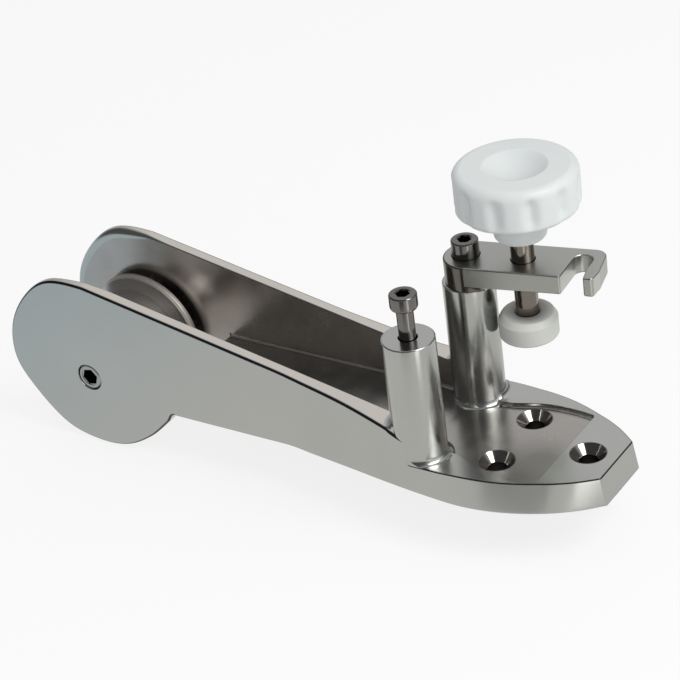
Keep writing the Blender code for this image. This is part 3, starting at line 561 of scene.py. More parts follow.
def cheek(front):
    # Flat part of the cheek in front of the flare, its band on top, its inner face and the axle's hole
    c = cast
    r, b, q, out, inner = c["topEdge"], c["bottomEdge"], c["innerEdge"], -c["cheekOut"], -c["channelHalf"]
    nose = noseOutline()
    frontX = c["plainX"]
    topX = np.linspace(frontX, nose[0, 0], 40)[:-1]
    bottomX = np.linspace(c["notchX"], frontX, 20)[1:]
    outline = np.vstack([np.stack([topX, cheekTop(topX)], 1), nose,
                         np.stack([bottomX, np.zeros_like(bottomX)], 1)])
    normal = inwards(outline, closed=False)
    normal[0] = (0, -1)
    normal[-1] = (0, 1)
    edge = np.where(np.arange(len(outline)) > len(topX) + len(nose) - 2, b, r)
    inset = outline + normal * edge[:, None]
    chamfer = c["holeChamfer"]
    hole = arcPoints((c["axleX"], c["axleZ"]), c["axleHole"] + chamfer, 0, 360, 64)[:-1]
    column = front[1:-1, 0]
    column = column[(column[:, 2] > b + 0.01) & (column[:, 2] < cheekTop(frontX) - r - 0.01)]
    found = [flatPatch(np.vstack([inset, column[:, [0, 2]]]), [hole], sideways(out), (0, -1, 0), outerSteel)]
    # The rounded outer edge carries the painted dark edge reflection
    found.append(gridPatch(edgeStrip(outline, normal, edge, edge, out), finish=edgeKinds[:, None]))

    # Inner face: down to the channel's floor, and the whole lobe in front of the floor
    innerX = np.linspace(0, nose[0, 0], 70)
    last = len(nose) - np.argmax(nose[::-1, 0] <= c["floorFront"])
    line = np.vstack([np.stack([innerX, cheekTop(innerX)], 1)[:-1], nose[:last]])
    turn = inwards(line, closed=False)
    turn[0] = (0, -1)
    lift = c["channelFillet"]
    wide, deep = innerRound(line[:, 0])
    held = line + turn * wide[:, None]
    rest = [(c["floorFront"], held[-1, 1]), (c["floorFront"], c["rim"] + lift),
            (c["rampX"], c["rim"] + lift), (0, c["recess"] + lift)]
    found.append(flatPatch(np.vstack([held[:-1], rest]), [hole], sideways(inner), (0, 1, 0), innerSteel))
    found.append(gridPatch(edgeStrip(line, turn, wide, -deep, inner), finish=outerSteel, flip=True))

    # Band on top of the cheek, round the nose and under the lobe: straight across between the two edges
    flared = front[-1][::-1]
    flatLine = np.stack([outline[:, 0], out + edge, outline[:, 1]], 1)[1:len(topX) + last]
    outside = np.vstack([flared, flatLine])
    inside = np.stack([outside[:, 0], inner - innerRound(outside[:, 0])[1], outside[:, 2]], 1)
    rows = [outside + (inside - outside) * t for t in (0, 0.5, 1)]
    # The band carries the painted highlight of the top
    found.append(gridPatch(np.stack(rows), finish=litBandSteel))
    line = outline[len(topX) + last - 1:]
    line = line[line[:, 0] <= c["floorFront"] + 6]
    low = np.stack([sideways(y)(line[:, 0], line[:, 1]) for y in (out + b, inner - q)], 1)
    found.append(gridPatch(low, finish=outerSteel, flip=True))

    # Hole for the axle, with a small chamfer at each end
    a = np.linspace(0, 2 * pi, 64, endpoint=False)
    bore = np.array([(c["axleHole"] + chamfer, out), (c["axleHole"], out + chamfer),
                     (c["axleHole"], inner - chamfer), (c["axleHole"] + chamfer, inner)])
    ring = np.stack([c["axleX"] + bore[:, :1] * np.cos(a), np.repeat(bore[:, 1:], 64, 1),
                     c["axleZ"] + bore[:, :1] * np.sin(a)], 2)
    found.append(gridPatch(ring, ringwise, innerSteel, flip=True))
    return found


def channelFloor():
    # Half of the floor: flat to the ramp, then down to the recess; a fillet turns it up into the cheek
    c = cast
    fillet, edge = c["channelFillet"], c["lipEdge"]
    x = np.r_[np.linspace(c["floorFront"] + edge, c["rampX"], 60), np.linspace(c["rampX"] + 2, 1, 12)]
    z = np.interp(x, [c["rampX"], 1], [c["rim"], c["recess"]])
    a = np.linspace(0, pi / 2, 6)
    y = np.r_[0.0, -(c["channelHalf"] - fillet + fillet * np.sin(a))]
    lift = np.r_[0.0, fillet * (1 - np.cos(a))]
    points = np.stack([np.repeat(x[:, None], len(y), 1), np.repeat(y[None], len(x), 0),
                       z[:, None] + lift[None]], 2)
    floor = gridPatch(points, finish=innerSteel, flip=True)
    # Front lip of the floor, rounded over to its front face
    a = np.linspace(0, pi / 2, 5)
    lipX = np.r_[c["floorFront"] + edge - edge * np.sin(a), c["floorFront"]]
    lipZ = np.r_[c["rim"] - edge + edge * np.cos(a), 0.0]
    points = np.stack([np.repeat(lipX[:, None], 2, 1), np.tile([0.0, -c["channelHalf"]], (len(lipX), 1)),
                       np.repeat(lipZ[:, None], 2, 1)], 2)
    return [floor, gridPatch(points, finish=innerSteel)]


def recessLine(halves, steps=10):
    # Edge of the recessed floor, from the post to the step, and along the step to the middle
    c = cast
    side = splineThrough(halves, steps)
    side = np.vstack([[(1, side[0, 1])], side[side[:, 0] < c["stepX"] - 2.5], side[-1:]])
    rim = wallPoint(np.linspace(0, c["tailX"], 90), c["rim"])
    room = c["rimEdge"] + c["recessEdge"] + 0.15
    side[:, 1] = np.minimum(side[:, 1], np.interp(side[:, 0], rim[:, 0], -rim[:, 1]) - room)
    line = np.vstack([side[:-1], roundCorners([side[-2], side[-1], (c["stepX"], 0)], c["stepCorner"], 6)[1:]])
    return np.stack([line[:, 0], -line[:, 1]], 1)


def deckTop(rearTop, halves, hy):
    # Rim, recess wall and recess floor on one side, with the side screw's hole
    c = cast
    found = []
    line = recessLine(halves)
    normal = -inwards(line, closed=False)
    e, f = c["recessEdge"], c["recessFillet"]
    up = line + normal * e                      # the rim's flat starts here
    across, rise = quarter(5)
    out = np.r_[e * (1 - rise), -(f * across)[1:]]
    low = np.r_[c["rim"] - e * across, (c["recess"] + f - f * rise)[1:]]
    points = np.stack([line[None, :, 0] + out[:, None] * normal[None, :, 0],
                       line[None, :, 1] + out[:, None] * normal[None, :, 1],
                       np.repeat(low[:, None], len(line), 1)], 2)
    found.append(gridPatch(points, finish=innerSteel, flip=True))
    foot = points[-1, :, :2]
    lip = c["sinkRadius"] + c["sinkLip"]
    around = arcPoints(c["tailHole"], lip, 360, 180, 32)
    loop = np.vstack([up, around[::-1], rearTop[::-1]])
    found.append(flatPatch(loop, [], level(c["rim"]), upwards, outerSteel))
    hx = c["sideHoleX"]
    hole = arcPoints((hx, -hy), lip, 0, 360, 64)[:-1]
    loop = np.vstack([foot, [(foot[0, 0], 0)]])
    found.append(flatPatch(loop, [hole], level(c["recess"]), upwards, innerSteel))
    return found + moveAll(countersink(c["recess"]), Matrix.Translation((hx, -hy, 0)))


def countersink(top):
    # Turned hole: rounded lip, a 45 degree cone, then a plain drilled bore down to the deck
    c = cast
    wide, bore, lip = c["sinkRadius"], c["holeRadius"], c["sinkLip"]
    cone = top - (wide - bore)
    corner = [(wide + lip, top), (wide, top), (bore, cone), (bore, cone - c["sinkFoot"])]
    # The plain bore below the cone takes the near-black painted shade
    return [lathePatch(roundCorners(corner, [0, lip * 0.9, 0.5, 0], 4), 64, coneSteel, flip=True),
            lathePatch([(bore, cone - c["sinkFoot"]), (bore, 0.0)], 64, boreShadeSteel, flip=True)]


def posts():
    # The near post: a bore, a broken edge, a straight side and a foot fillet kept inside the wall.
    # The fillet stands on the rim outside and on the recessed floor inside
    c = cast
    r, y0, f = c["postRadius"], -c["postY"], c["postFillet"]
    steps = 160
    a = np.linspace(0, 2 * pi, steps, endpoint=False)
    k = np.radians(np.linspace(180, 268, 14))       # the foot's fillet ends a little short of level
    top, bore = c["postTop"], c["boreRadius"]
    edge = roundCorners([(r - 3, top), (r, top), (r, top - 4)], [0, c["postEdge"], 0], 5)[1:]
    straight = np.stack([np.full(8, r), np.linspace(top - 6, c["rim"] + f + 0.6, 8)], 1)
    above = np.vstack([edge, straight])
    # Share of the rim's height under the foot: all of it outside, none over the recessed floor
    turn = np.degrees(a)
    share = np.maximum(smooth((c["footFront"] - turn) / 22), smooth((turn - c["footBack"]) / 40))
    foot = c["recess"] + (c["rim"] - c["recess"]) * share
    radius = np.r_[above[:, 0], r + f + f * np.cos(k)][:, None]
    z = np.vstack([above[:, 1:] + 0 * a, foot + (f + f * np.sin(k))[:, None]])
    x = radius * np.cos(a)
    y = y0 + radius * np.sin(a)
    limit = wallPoint(x, np.minimum(z, c["rim"]))[..., 1] + 0.05
    y = np.where(z < c["rim"] + f + 0.3, np.maximum(y, limit), y)
    found = [gridPatch(np.stack([x, y, z], 2), ringwise, outerSteel)]
    chamfer = c["boreChamfer"]
    mouth = arcPoints((0, y0), bore + chamfer, 0, 360, 48)[:-1]
    found.append(flatPatch(arcPoints((0, y0), edge[0, 0], 0, 360, steps)[:-1], [mouth], level(top),
                           upwards, outerSteel))
    bottom = top - c["boreDepth"]
    wall = [(bore + chamfer, top), (bore, top - chamfer), (bore, bottom), (0, bottom - c["drillTip"])]
    found.append(moved(lathePatch(wall, 48, innerSteel, flip=True), Matrix.Translation((0, y0, 0))))
    # Small fillet where the cheek's band runs into the post, held between the cheek's two sides
    g = c["gusset"]
    a = np.radians(np.linspace(100, 262, 60))
    k = np.radians(np.linspace(180, 270, 9))
    reach = r + g + g * np.cos(k)[:, None]
    lift = g + g * np.sin(k)[:, None]
    x = reach * np.cos(a)
    y = y0 + reach * np.sin(a)
    z = cheekTop(x) + lift
    limit = wallPoint(x, cheekTop(x) - c["topEdge"])[..., 1] + c["topEdge"] * 0.7
    y = np.clip(y, limit, -c["channelHalf"] - 0.3)
    inside = np.hypot(x, y - y0) < r - 0.05
    points = np.stack([x, y, np.where(inside, z - 0.5, z)], 2)
    found.append(gridPatch(points, finish=outerSteel))
    return found


def underside(frontBottom, rearBottom, hy):
    # The deck face: a flat rim round two hollows, with a boss round each side screw
    c = cast
    half, wall, b = c["channelHalf"], c["pocketWall"], c["bottomEdge"]
    frontX, floorX = c["notchX"], c["floorFront"]
    outside = np.vstack([[(frontX, -c["cheekOut"] + b)], frontBottom[:, :2], rearBottom[1:]])
    tail, lip = c["tailHole"][0], c["holeRadius"]
    widest = c["baseHalf"] - wall - c["rimDraft"]
    side = splineThrough([(x, widest * share) for x, share in rearHollow], 6) * (1, -1)
    end, r = c["pocketEnd"], c["pocketCorner"]
    frontHalf = np.vstack([[(end, 0)], arcPoints((end - r, -half + r), r, 0, -90, 6),
                           arcPoints((floorX + wall + r, -half + r), r, 270, 180, 6), [(floorX + wall, 0)]])
    rearHalf = np.vstack([[(side[-1, 0], 0)], side[::-1], [(side[0, 0], 0)]])
    loop = np.vstack([outside, arcPoints((tail, 0), lip, 360, 180, 32), rearHalf, frontHalf,
                      [(floorX, 0), (floorX, -half), (frontX, -half)]])

    found = [flatPatch(loop, [], level(0.0), downwards, rawSteel)]
    hx = c["sideHoleX"]
    boss = arcPoints((hx, -hy), c["holeRadius"] + c["bossWall"], 0, 360, 48)[:-1]
    hole = arcPoints((hx, -hy), c["holeRadius"], 0, 360, 64)[:-1]
    low = c["recess"] - c["skin"]
    for line, roof, holes in ((frontHalf, c["rim"] - c["skin"], []), (rearHalf, low, [boss])):
        rows = np.stack([raised(line, h) for h in (0.0, roof)])
        found.append(gridPatch(rows, finish=rawSteel, flip=True))
        found.append(flatPatch(line, holes, level(roof), downwards, rawSteel))
    found.append(gridPatch(np.stack([raised(boss, h) for h in (low, 0.0)]), ringwise, rawSteel))
    found.append(flatPatch(boss, [hole], level(0.0), downwards, rawSteel))
    return found


def castFrame():
    # What is the same on both sides is mirrored; deck and underside are made for each side's own hole
    c = cast
    wall, front = frontWall()
    rear, rearPoints = rearWall()
    found = []
    for part in [wall, rear] + cheek(front) + channelFloor() + posts():
        found += [part, mirrored(part)]
    for halves, hy, far in ((nearRecess, c["nearHoleY"], False), (farRecess, c["farHoleY"], True)):
        half = deckTop(rearPoints[-1][:, :2], halves, hy) + underside(front[0], rearPoints[0][:, :2], hy)
        found += [mirrored(part) for part in half] if far else half
    return found + moveAll(countersink(c["rim"]), Matrix.Translation((*c["tailHole"], 0)))


makePiece("castFrame", castFrame(), castFinishes, "deck_frame", ("roller_frame",))
print("casting made")


# Turned and small pieces

def along(x, z, near=True):
    # Lays a turned piece on the roller's axis, its top towards the near or the far cheek
    turn = Matrix.Rotation(pi / 2 if near else -pi / 2, 4, "X")
    return Matrix.Translation((x, 0, z)) @ turn


def upright(x, y):
    # Stands a turned piece at a place on the deck
    return Matrix.Translation((x, y, 0))


def hexagonLine(flats, turn=0.0):
    # Six corners at the width across flats / the square root of 3
    a = np.radians(np.arange(6) * 60 + turn)
    return np.stack([np.cos(a), np.sin(a)], 1) * flats / sqrt(3)


def hexagonWall(flats, low, high, finish=0, flip=False, turn=0.0):
    # Six flat sides, each with its own normal
    line = hexagonLine(flats, turn)
    found = []
    for first, last in zip(line, np.roll(line, -1, 0)):
        points = np.array([[(*first, high), (*last, high)], [(*first, low), (*last, low)]])
        found.append(gridPatch(points, finish=finish, flip=flip))
    return found


def socketEnd(radius, top, flats, depth, turn=0.0):
    # Flat ring with a hexagonal socket in it; the mouth is broken by a short cone
    mouth = flats / sqrt(3) + 0.25
    circle = arcPoints((0, 0), radius, 0, 360, 96)[:-1]
    ring = arcPoints((0, 0), mouth, 0, 360, 48)[:-1]
    found = [flatPatch(circle, [ring], level(top), upwards),
             flatPatch(ring, [hexagonLine(flats, turn)], level(top - 0.3), upwards),
             lathePatch([(mouth, top), (mouth, top - 0.3)], 48, 0, flip=True)]
    # Socket walls and floor take the painted shade
    found += hexagonWall(flats, top - depth, top - 0.3, socketShadeFinish, True, turn)
    found.append(flatPatch(hexagonLine(flats, turn), [], level(top - depth), upwards, socketShadeFinish))
    return found


roller = {"radius": 32.0, "root": 17.0, "half": 21.1, "band": 4.2, "groove": 9.5, "chamfer": 1.2,
          "bore": 9.8, "steps": 160}


def rollerPatches():
    # Round groove, straight flanks, a chamfered rim band and flat faces
    r = roller
    top = r["half"] - r["band"]
    rise = atan2(r["radius"] - r["root"] - r["groove"] * 0.3, top - r["groove"] * 0.7)
    a = np.linspace(rise, 0, 14)
    bottom = np.stack([r["root"] + r["groove"] * (1 - np.cos(a)), r["groove"] * np.sin(a)], 1)
    e = r["chamfer"]
    corner = [(r["bore"], r["half"]), (r["radius"] - e, r["half"]), (r["radius"], r["half"] - e),
              (r["radius"], top + e), (r["radius"] - e, top), tuple(bottom[0])]
    flank = roundCorners(corner, [0, 0.35, 0.35, 0.35, 0.8, 0], 4)
    between = np.linspace(flank[-2], bottom[0], 8)[1:-1]
    upper = np.vstack([flank[:-1], between, bottom])
    lower = (upper * (1, -1))[::-1][1:]
    profile = np.vstack([upper, lower])
    bore = [(r["bore"], -r["half"]), (r["bore"], r["half"])]
    # The rim bands take the lighter finish, a painted highlight
    onRim = np.minimum(profile[1:, 0], profile[:-1, 0]) > r["radius"] - e - 0.1
    return [lathePatch(profile, r["steps"], np.where(onRim, litRimFinish, 0)[:, None]), lathePatch(bore, 64)]


makePiece("grooveRoller", moveAll(rollerPatches(), along(cast["axleX"], cast["axleZ"])),
          [rollerSteel, litRimSteel], "roller", ("roller",))

bearing = {"bore": 7.05, "outer": 9.5, "flange": 12.5, "flangeThick": 1.5, "face": 21.4, "length": 16.88,
           "washerOuter": 11.5, "washerThick": 1.0, "cheekGap": 24.2}


def bearingPieces():
    # A flanged bush in each end of the roller, and a thin washer outside each flange
    b = bearing
    face = b["face"]
    top, end = face + b["flangeThick"], face - b["length"]
    bush = roundCorners([(b["bore"], top), (b["flange"], top), (b["flange"], face), (b["outer"], face),
                         (b["outer"], end), (b["bore"], end), (b["bore"], top)],
                        [0, 0.3, 0.2, 0, 0.3, 0, 0], 3)
    high, low = b["cheekGap"], b["cheekGap"] - b["washerThick"]
    washer = roundCorners([(b["bore"], high), (b["washerOuter"], high), (b["washerOuter"], low),
                           (b["bore"], low), (b["bore"], high)], [0, 0.15, 0.15, 0, 0], 3)
    for near, word in ((True, "near"), (False, "far")):
        place = along(cast["axleX"], cast["axleZ"], near)
        makePiece(word + "Bush", [moved(lathePatch(bush, 96), place)], [bearingPlastic], "roller",
                  ("roller_bush_" + word,))
        makePiece(word + "Washer", [moved(lathePatch(washer, 96), place)], [screwSteel], "deck_frame",
                  ("thrust_washer_" + word,))


bearingPieces()

pin = {"radius": 6.75, "end": 30.4, "edge": 0.6, "socket": 8.0, "socketDepth": 5.0}


def axlePin():
    # A plain bar with broken edges and a hexagonal socket in its near end
    p = pin
    flat = p["radius"] - p["edge"]
    profile = roundCorners([(flat, p["end"]), (p["radius"], p["end"] - p["edge"]),
                            (p["radius"], p["edge"] - p["end"]), (flat, -p["end"]), (0, -p["end"])],
                           [0, 0.25, 0.25, 0.25, 0], 4)
    place = along(cast["axleX"], cast["axleZ"])
    patches = [lathePatch(profile, 96)] + socketEnd(flat, p["end"], p["socket"], p["socketDepth"], 12)
    makePiece("axlePin", moveAll(patches, place), [pinSteel, socketShadeSteel], "deck_frame", ("axle_pin",))


axlePin()

capScrew = {"shaft": 4.0, "head": 6.5, "height": 8.0, "chamfer": 0.9, "flats": 6.0, "depth": 4.0}
# Seat of the head, length below it and the rounding of the head's underside
pivotSeat, lockSeat = (89.4, 50.0, 0.25), (91.0, 45.0, 2.0)
sleeve = {"bore": 4.3, "outer": 6.3, "low": 76.3, "high": 89.1, "edge": 0.3}


def capScrewPatches(seat, length, under):
    # Head with a rounded top edge, a plain shaft, and a hexagonal socket
    s = capScrew
    top, tip, flat = seat + s["height"], seat - length, s["head"] - s["chamfer"]
    e = s["chamfer"]
    profile = roundCorners([(flat, top), (s["head"], top), (s["head"], seat), (s["shaft"], seat),
                            (s["shaft"], tip), (0, tip)], [0, e * 0.98, under, 0.2, 0.7, 0], 5)
    return [lathePatch(profile, 96)] + socketEnd(flat, top, s["flats"], s["depth"], 20)


def sleevePatch():
    # A plain tube with broken outer edges
    s = sleeve
    line = [(s["bore"], s["high"]), (s["outer"], s["high"]), (s["outer"], s["low"]), (s["bore"], s["low"]),
            (s["bore"], s["high"])]
    return lathePatch(roundCorners(line, [0, s["edge"], s["edge"], 0, 0], 3), 64)


onPivot, onLock = upright(0, cast["postY"]), upright(0, -cast["postY"])
makePiece("pivotScrew", moveAll(capScrewPatches(*pivotSeat), onPivot), [screwSteel, socketShadeSteel],
          "deck_frame", ("pivot_screw",))
makePiece("lockScrew", moveAll(capScrewPatches(*lockSeat), onLock), [screwSteel, socketShadeSteel],
          "lock", ("lock_screw",))
makePiece("pivotSleeve", [moved(sleevePatch(), onPivot)], [screwSteel],
          "deck_frame", ("pivot_sleeve",))

arm = {"turn": 12.0, "low": 79.5, "high": 89.1, "bossLow": 76.3, "half": 13.3, "shift": 2.6, "corner": 6.0,
       "tip": 64.7, "edge": 0.8, "slotEnd": (54.907, 3.2), "slotMouth": (52.83, -15.3), "slotHalf": 4.6,
       "slotFlare": 2.0, "slotNeck": 8.0, "slotRound": 1.0, "hookRadii": (3.0, 1.0, 1.6, 3.0), "eye": 6.6,
       "eyeChamfer": 0.3, "bossEdge": 0.5, "bossFillet": 3.0, "clampReach": 27.5, "clampBore": 5.8,
       "clampChamfer": 0.15}


def armLine():
    # Plan of the bar: round at the pivot, squared off at the hook, with the slot open on its near side
    a = arm
    end, mouth = np.array(a["slotEnd"]), np.array(a["slotMouth"])
    down = (mouth - end) / np.linalg.norm(mouth - end)
    side = np.array([-down[1], down[0]])
    h = a["slotHalf"]

    def atEdge(first, last):
        # Where the line through two points crosses the bar's near side
        return first + (last - first) * (-a["half"] - first[1]) / (last[1] - first[1])

    leftLow = atEdge(end - side * h, mouth - side * h)
    neck = end + down * a["slotNeck"] + side * h
    rightLow = atEdge(neck, mouth + side * (h + a["slotFlare"]))
    start = np.degrees(atan2(-side[1], -side[0]))
    slotEnd = arcPoints(end, h, start, start - 180, 20)
    # Round end, near side up to the slot, the slot's end, its other side with the hook's tip, last corner
    pieces = [arcPoints((a["shift"], 0), a["half"], 90, 270, 40)[:-1],
              roundCorners([(a["shift"], -a["half"]), leftLow, end - side * h],
                           [0, a["slotRound"], 0], 5)[:-1],
              slotEnd,
              roundCorners([slotEnd[-1], neck, rightLow, (a["tip"] - 1.0, -a["half"]),
                            (a["tip"] + 0.4, -a["half"] * 0.45), (a["tip"], a["half"] - a["corner"])],
                           [0, *a["hookRadii"], 0], 5)[1:-1],
              arcPoints((a["tip"] - a["corner"], a["half"] - a["corner"]), a["corner"], 0, 90, 10)]
    return np.vstack(pieces)


def armPatches():
    # A bar with rounded edges; its round end runs down into a boss, with a fillet under the bar
    a = arm
    line = armLine()
    e = a["edge"]
    across, up = quarter(6)
    inset = np.r_[e * across[::-1], e * across]
    z = np.r_[a["high"] - e * (1 - up[::-1]), a["low"] + e * (1 - up)]
    turn = inwards(line)
    share = smooth((line[:, 0] - a["shift"]) / 2.0)
    rows = []
    for k, (i, h) in enumerate(zip(inset, z)):
        low = k >= len(up)
        kept = share if low else np.ones(len(line))
        height = a["low"] + (h - a["low"]) * kept if low else np.full(len(line), h)
        rows.append(np.concatenate([line + turn * (i * kept)[:, None], height[:, None]], 1))
    points = np.stack(rows)
    onRound = np.maximum(line[:, 0], np.roll(line[:, 0], -1)) < a["shift"] + 0.1
    # The sides of the round end take the painted dark reflection
    found = [gridPatch(points, ringwise, np.where(onRound, roundReflectionFinish, 0))]
    hole = arcPoints((a["clampReach"], 0), a["clampBore"] + a["clampChamfer"], 0, 360, 64)[:-1]
    eye = arcPoints((0, 0), a["eye"] + a["eyeChamfer"], 0, 360, 64)[:-1]
    found.append(flatPatch(points[0][:, :2], [eye, hole], level(a["high"]), upwards))
    found.append(flatPatch(points[-1][:, :2], [hole], level(a["low"]), downwards))
    # Boss: round like the bar's end; towards the hook it spreads into the bar's underside
    angle = np.linspace(0, 2 * pi, 128, endpoint=False)
    spread = np.clip(np.cos(angle), 0, 1)[None, :] ** 1.5
    f, edge = a["bossFillet"], a["bossEdge"]
    k = np.linspace(0, pi / 2, 8)
    side = f * (1 - np.cos(k[::-1]))[:, None] * spread
    high = (a["low"] - f + f * np.sin(k[::-1]))[:, None] + 0 * angle[None, :]
    q = np.linspace(0, pi / 2, 5)[1:]
    foot = -edge * (1 - np.cos(q))[:, None] + 0 * angle[None, :]
    radius = a["half"] + np.vstack([side, foot])
    height = np.vstack([high, (a["bossLow"] + edge - edge * np.sin(q))[:, None] + 0 * angle[None, :]])
    points = np.stack([a["shift"] + radius * np.cos(angle), radius * np.sin(angle), height], 2)
    # The boss takes the same painted dark reflection
    found.append(gridPatch(points, ringwise, roundReflectionFinish))
    found.append(flatPatch(points[-1][:, :2], [eye], level(a["bossLow"]), downwards))
    for reach, bore, chamfer, low in ((0, a["eye"], a["eyeChamfer"], a["bossLow"]),
                                      (a["clampReach"], a["clampBore"], a["clampChamfer"], a["low"])):
        wall = [(bore + chamfer, a["high"]), (bore, a["high"] - chamfer), (bore, low + chamfer),
                (bore + chamfer, low)]
        found.append(moved(lathePatch(wall, 64, 0, flip=True), Matrix.Translation((reach, 0, 0))))
    return moveAll(found, onPivot @ Matrix.Rotation(radians(a["turn"]), 4, "Z"))


makePiece("latchArm", armPatches(), [armSteel, bossReflectionSteel], "latch", ("latch_arm",))

clamp = {"place": (26.899, 33.218), "stud": 5.5, "studTop": 114.1, "studLow": 53.4, "neck": 4.5,
         "padTop": 61.1, "padLow": 49.1, "padTopRadius": 12.2, "padRadius": 14.0, "padCone": 3.0,
         "padHole": 5.8, "padFloor": 53.1, "clipUp": 2.2, "clipThick": 1.2, "clipInner": 4.6,
         "clipOuter": 7.3, "groove": 7.8, "grooveDown": 0.3, "grooveUp": 1.5}


def clampPieces():
    # Stud, its retaining clip, and the coned pad that it turns in; both are grooved for the clip
    c = clamp
    place = upright(*c["place"])
    clipLow = c["studLow"] + c["clipUp"]
    low, high, clipTop = clipLow - c["grooveDown"], clipLow + c["grooveUp"], clipLow + c["clipThick"]
    neck, hole, inner, outer = c["neck"] - 0.2, c["padHole"], c["clipInner"], c["clipOuter"]
    stud = roundCorners([(0, c["studTop"]), (c["stud"], c["studTop"]), (c["stud"], high), (neck, high),
                         (neck, low), (c["stud"], low), (c["stud"], c["studLow"]), (0, c["studLow"])],
                        [0, 0.8, 0, 0, 0, 0, 0.6, 0], 4)
    makePiece("clampStud", [moved(lathePatch(stud, 96), place)], [studSteel], "clamp", ("clamp_screw",))
    clip = roundCorners([(inner, clipTop), (outer, clipTop), (outer, clipLow), (inner, clipLow),
                         (inner, clipTop)], [0, 0.2, 0.2, 0, 0], 3)
    makePiece("padClip", [moved(lathePatch(clip, 48), place)], [screwSteel], "pad", ("pad_clip",))
    pad = roundCorners([(hole, c["padTop"]), (c["padTopRadius"], c["padTop"]),
                        (c["padRadius"], c["padTop"] - c["padCone"]), (c["padRadius"], c["padLow"]),
                        (0, c["padLow"])], [0, 0.9, 1.2, 1.1, 0], 6)
    inside = [(0, c["padFloor"]), (hole, c["padFloor"]), (hole, low), (c["groove"], low),
              (c["groove"], high), (hole, high), (hole, c["padTop"])]
    makePiece("clampPad", [moved(lathePatch(pad, 128), place), moved(lathePatch(inside, 64), place)],
              [padPlastic], "pad", ("clamp_pad",))


clampPieces()

knob = {"radius": 29.0, "lobes": 11, "scallop": 2.3, "phase": -15.3, "headLow": 116.6, "headTop": 137.5,
        "dish": 14.8, "dishDepth": 5.0, "dishLip": 1.6, "shoulder": 4.5, "under": 3.0, "collar": 12.3,
        "collarEdge": 2.6, "low": 101.1, "insertFlats": 16.0, "insertTop": 115.1, "room": 0.3,
        "fluteDown": 1.5, "fluteLength": 6.5, "fluteFoot": 6.0}


def knobPatches():
    # The head's radius dips at each flute; the dip grows from nothing at the shoulder to full depth below it
    k = knob
    top = k["headTop"]
    t = np.linspace(0, 1, 16)
    dish = np.stack([k["dish"] * t, top - k["dishDepth"] * (1 - t ** 2)], 1)
    lip = roundCorners([dish[-3], (k["dish"] + 0.4, top), (k["radius"] - k["shoulder"] - 1, top)],
                       [0, k["dishLip"], 0], 6)[1:]
    shoulder = arcPoints((k["radius"] - k["shoulder"], top - k["shoulder"]), k["shoulder"], 90, 0, 11)
    sideTop, sideLow = top - k["shoulder"] - 0.8, k["headLow"] + k["under"] + 0.6
    side = np.stack([np.full(8, k["radius"]), np.linspace(sideTop, sideLow, 8)], 1)
    under = arcPoints((k["radius"] - k["under"], k["headLow"] + k["under"]), k["under"], 0, -90, 7)
    e = k["collarEdge"]
    neck = arcPoints((k["collar"] + e, k["headLow"] - e), e, 90, 180, 7)
    low = arcPoints((k["collar"] - e, k["low"] + e), e, 0, -90, 7)
    profile = np.vstack([dish[:-2], lip[:-1], shoulder, side, under, neck, low])
    steps = k["lobes"] * 40
    angle = np.linspace(0, 2 * pi, steps, endpoint=False)
    wave = 0.5 + 0.5 * np.cos(k["lobes"] * (angle - radians(k["phase"])))
    share = smooth((top - k["fluteDown"] - profile[:, 1]) / k["fluteLength"])
    head = np.clip((profile[:, 0] - k["collar"] - e) / (k["radius"] - k["shoulder"] - k["collar"] - e), 0, 1)
    foot = np.clip((profile[:, 1] - k["headLow"]) / k["fluteFoot"], 0.2, 1)
    depth = k["scallop"] * (share * head * foot)[:, None] * wave[None, :] ** 3
    r = profile[:, :1] - depth
    points = np.stack([r * np.cos(angle), r * np.sin(angle), np.repeat(profile[:, 1:], steps, 1)], 2)
    found = [gridPatch(points, ringwise)]
    flats, roof = k["insertFlats"] + 2 * k["room"], k["insertTop"] + k["room"]
    ring = np.stack([np.cos(angle), np.sin(angle)], 1) * low[-1, 0]
    found.append(flatPatch(ring, [hexagonLine(flats)], level(k["low"]), downwards))
    found += hexagonWall(flats, k["low"], roof, 0, True)
    found.append(flatPatch(hexagonLine(flats), [], level(roof), downwards))
    return moveAll(found, upright(*clamp["place"]))


def insertPatches():
    # A hexagonal bar with a plain bore for the stud
    flats, low, high, hole = knob["insertFlats"], knob["low"], knob["insertTop"], clamp["padHole"]
    bore = arcPoints((0, 0), hole, 0, 360, 48)[:-1]
    found = hexagonWall(flats, low, high)
    found.append(flatPatch(hexagonLine(flats), [bore], level(low), downwards))
    found.append(flatPatch(hexagonLine(flats), [bore], level(high), upwards))
    found.append(lathePatch([(hole, high), (hole, low)], 48, 0, flip=True))
    return moveAll(found, upright(*clamp["place"]))


makePiece("clampKnob", knobPatches(), [knobPlastic], "clamp", ("clamp_knob",))
makePiece("knobInsert", insertPatches(), [insertBrass], "clamp", ("knob_insert",))
print("moving pieces made")


# Camera: fitted to the posts, the deck plate and the nose of the photograph

camera = {"azimuth": 36.463, "elevation": 31.057, "roll": -7.958, "place": (522.34, -785.26, 633.29),
          "focalPixels": 2400, "framePixels": 680, "sensorMm": 36, "clip": (0.05, 20)}


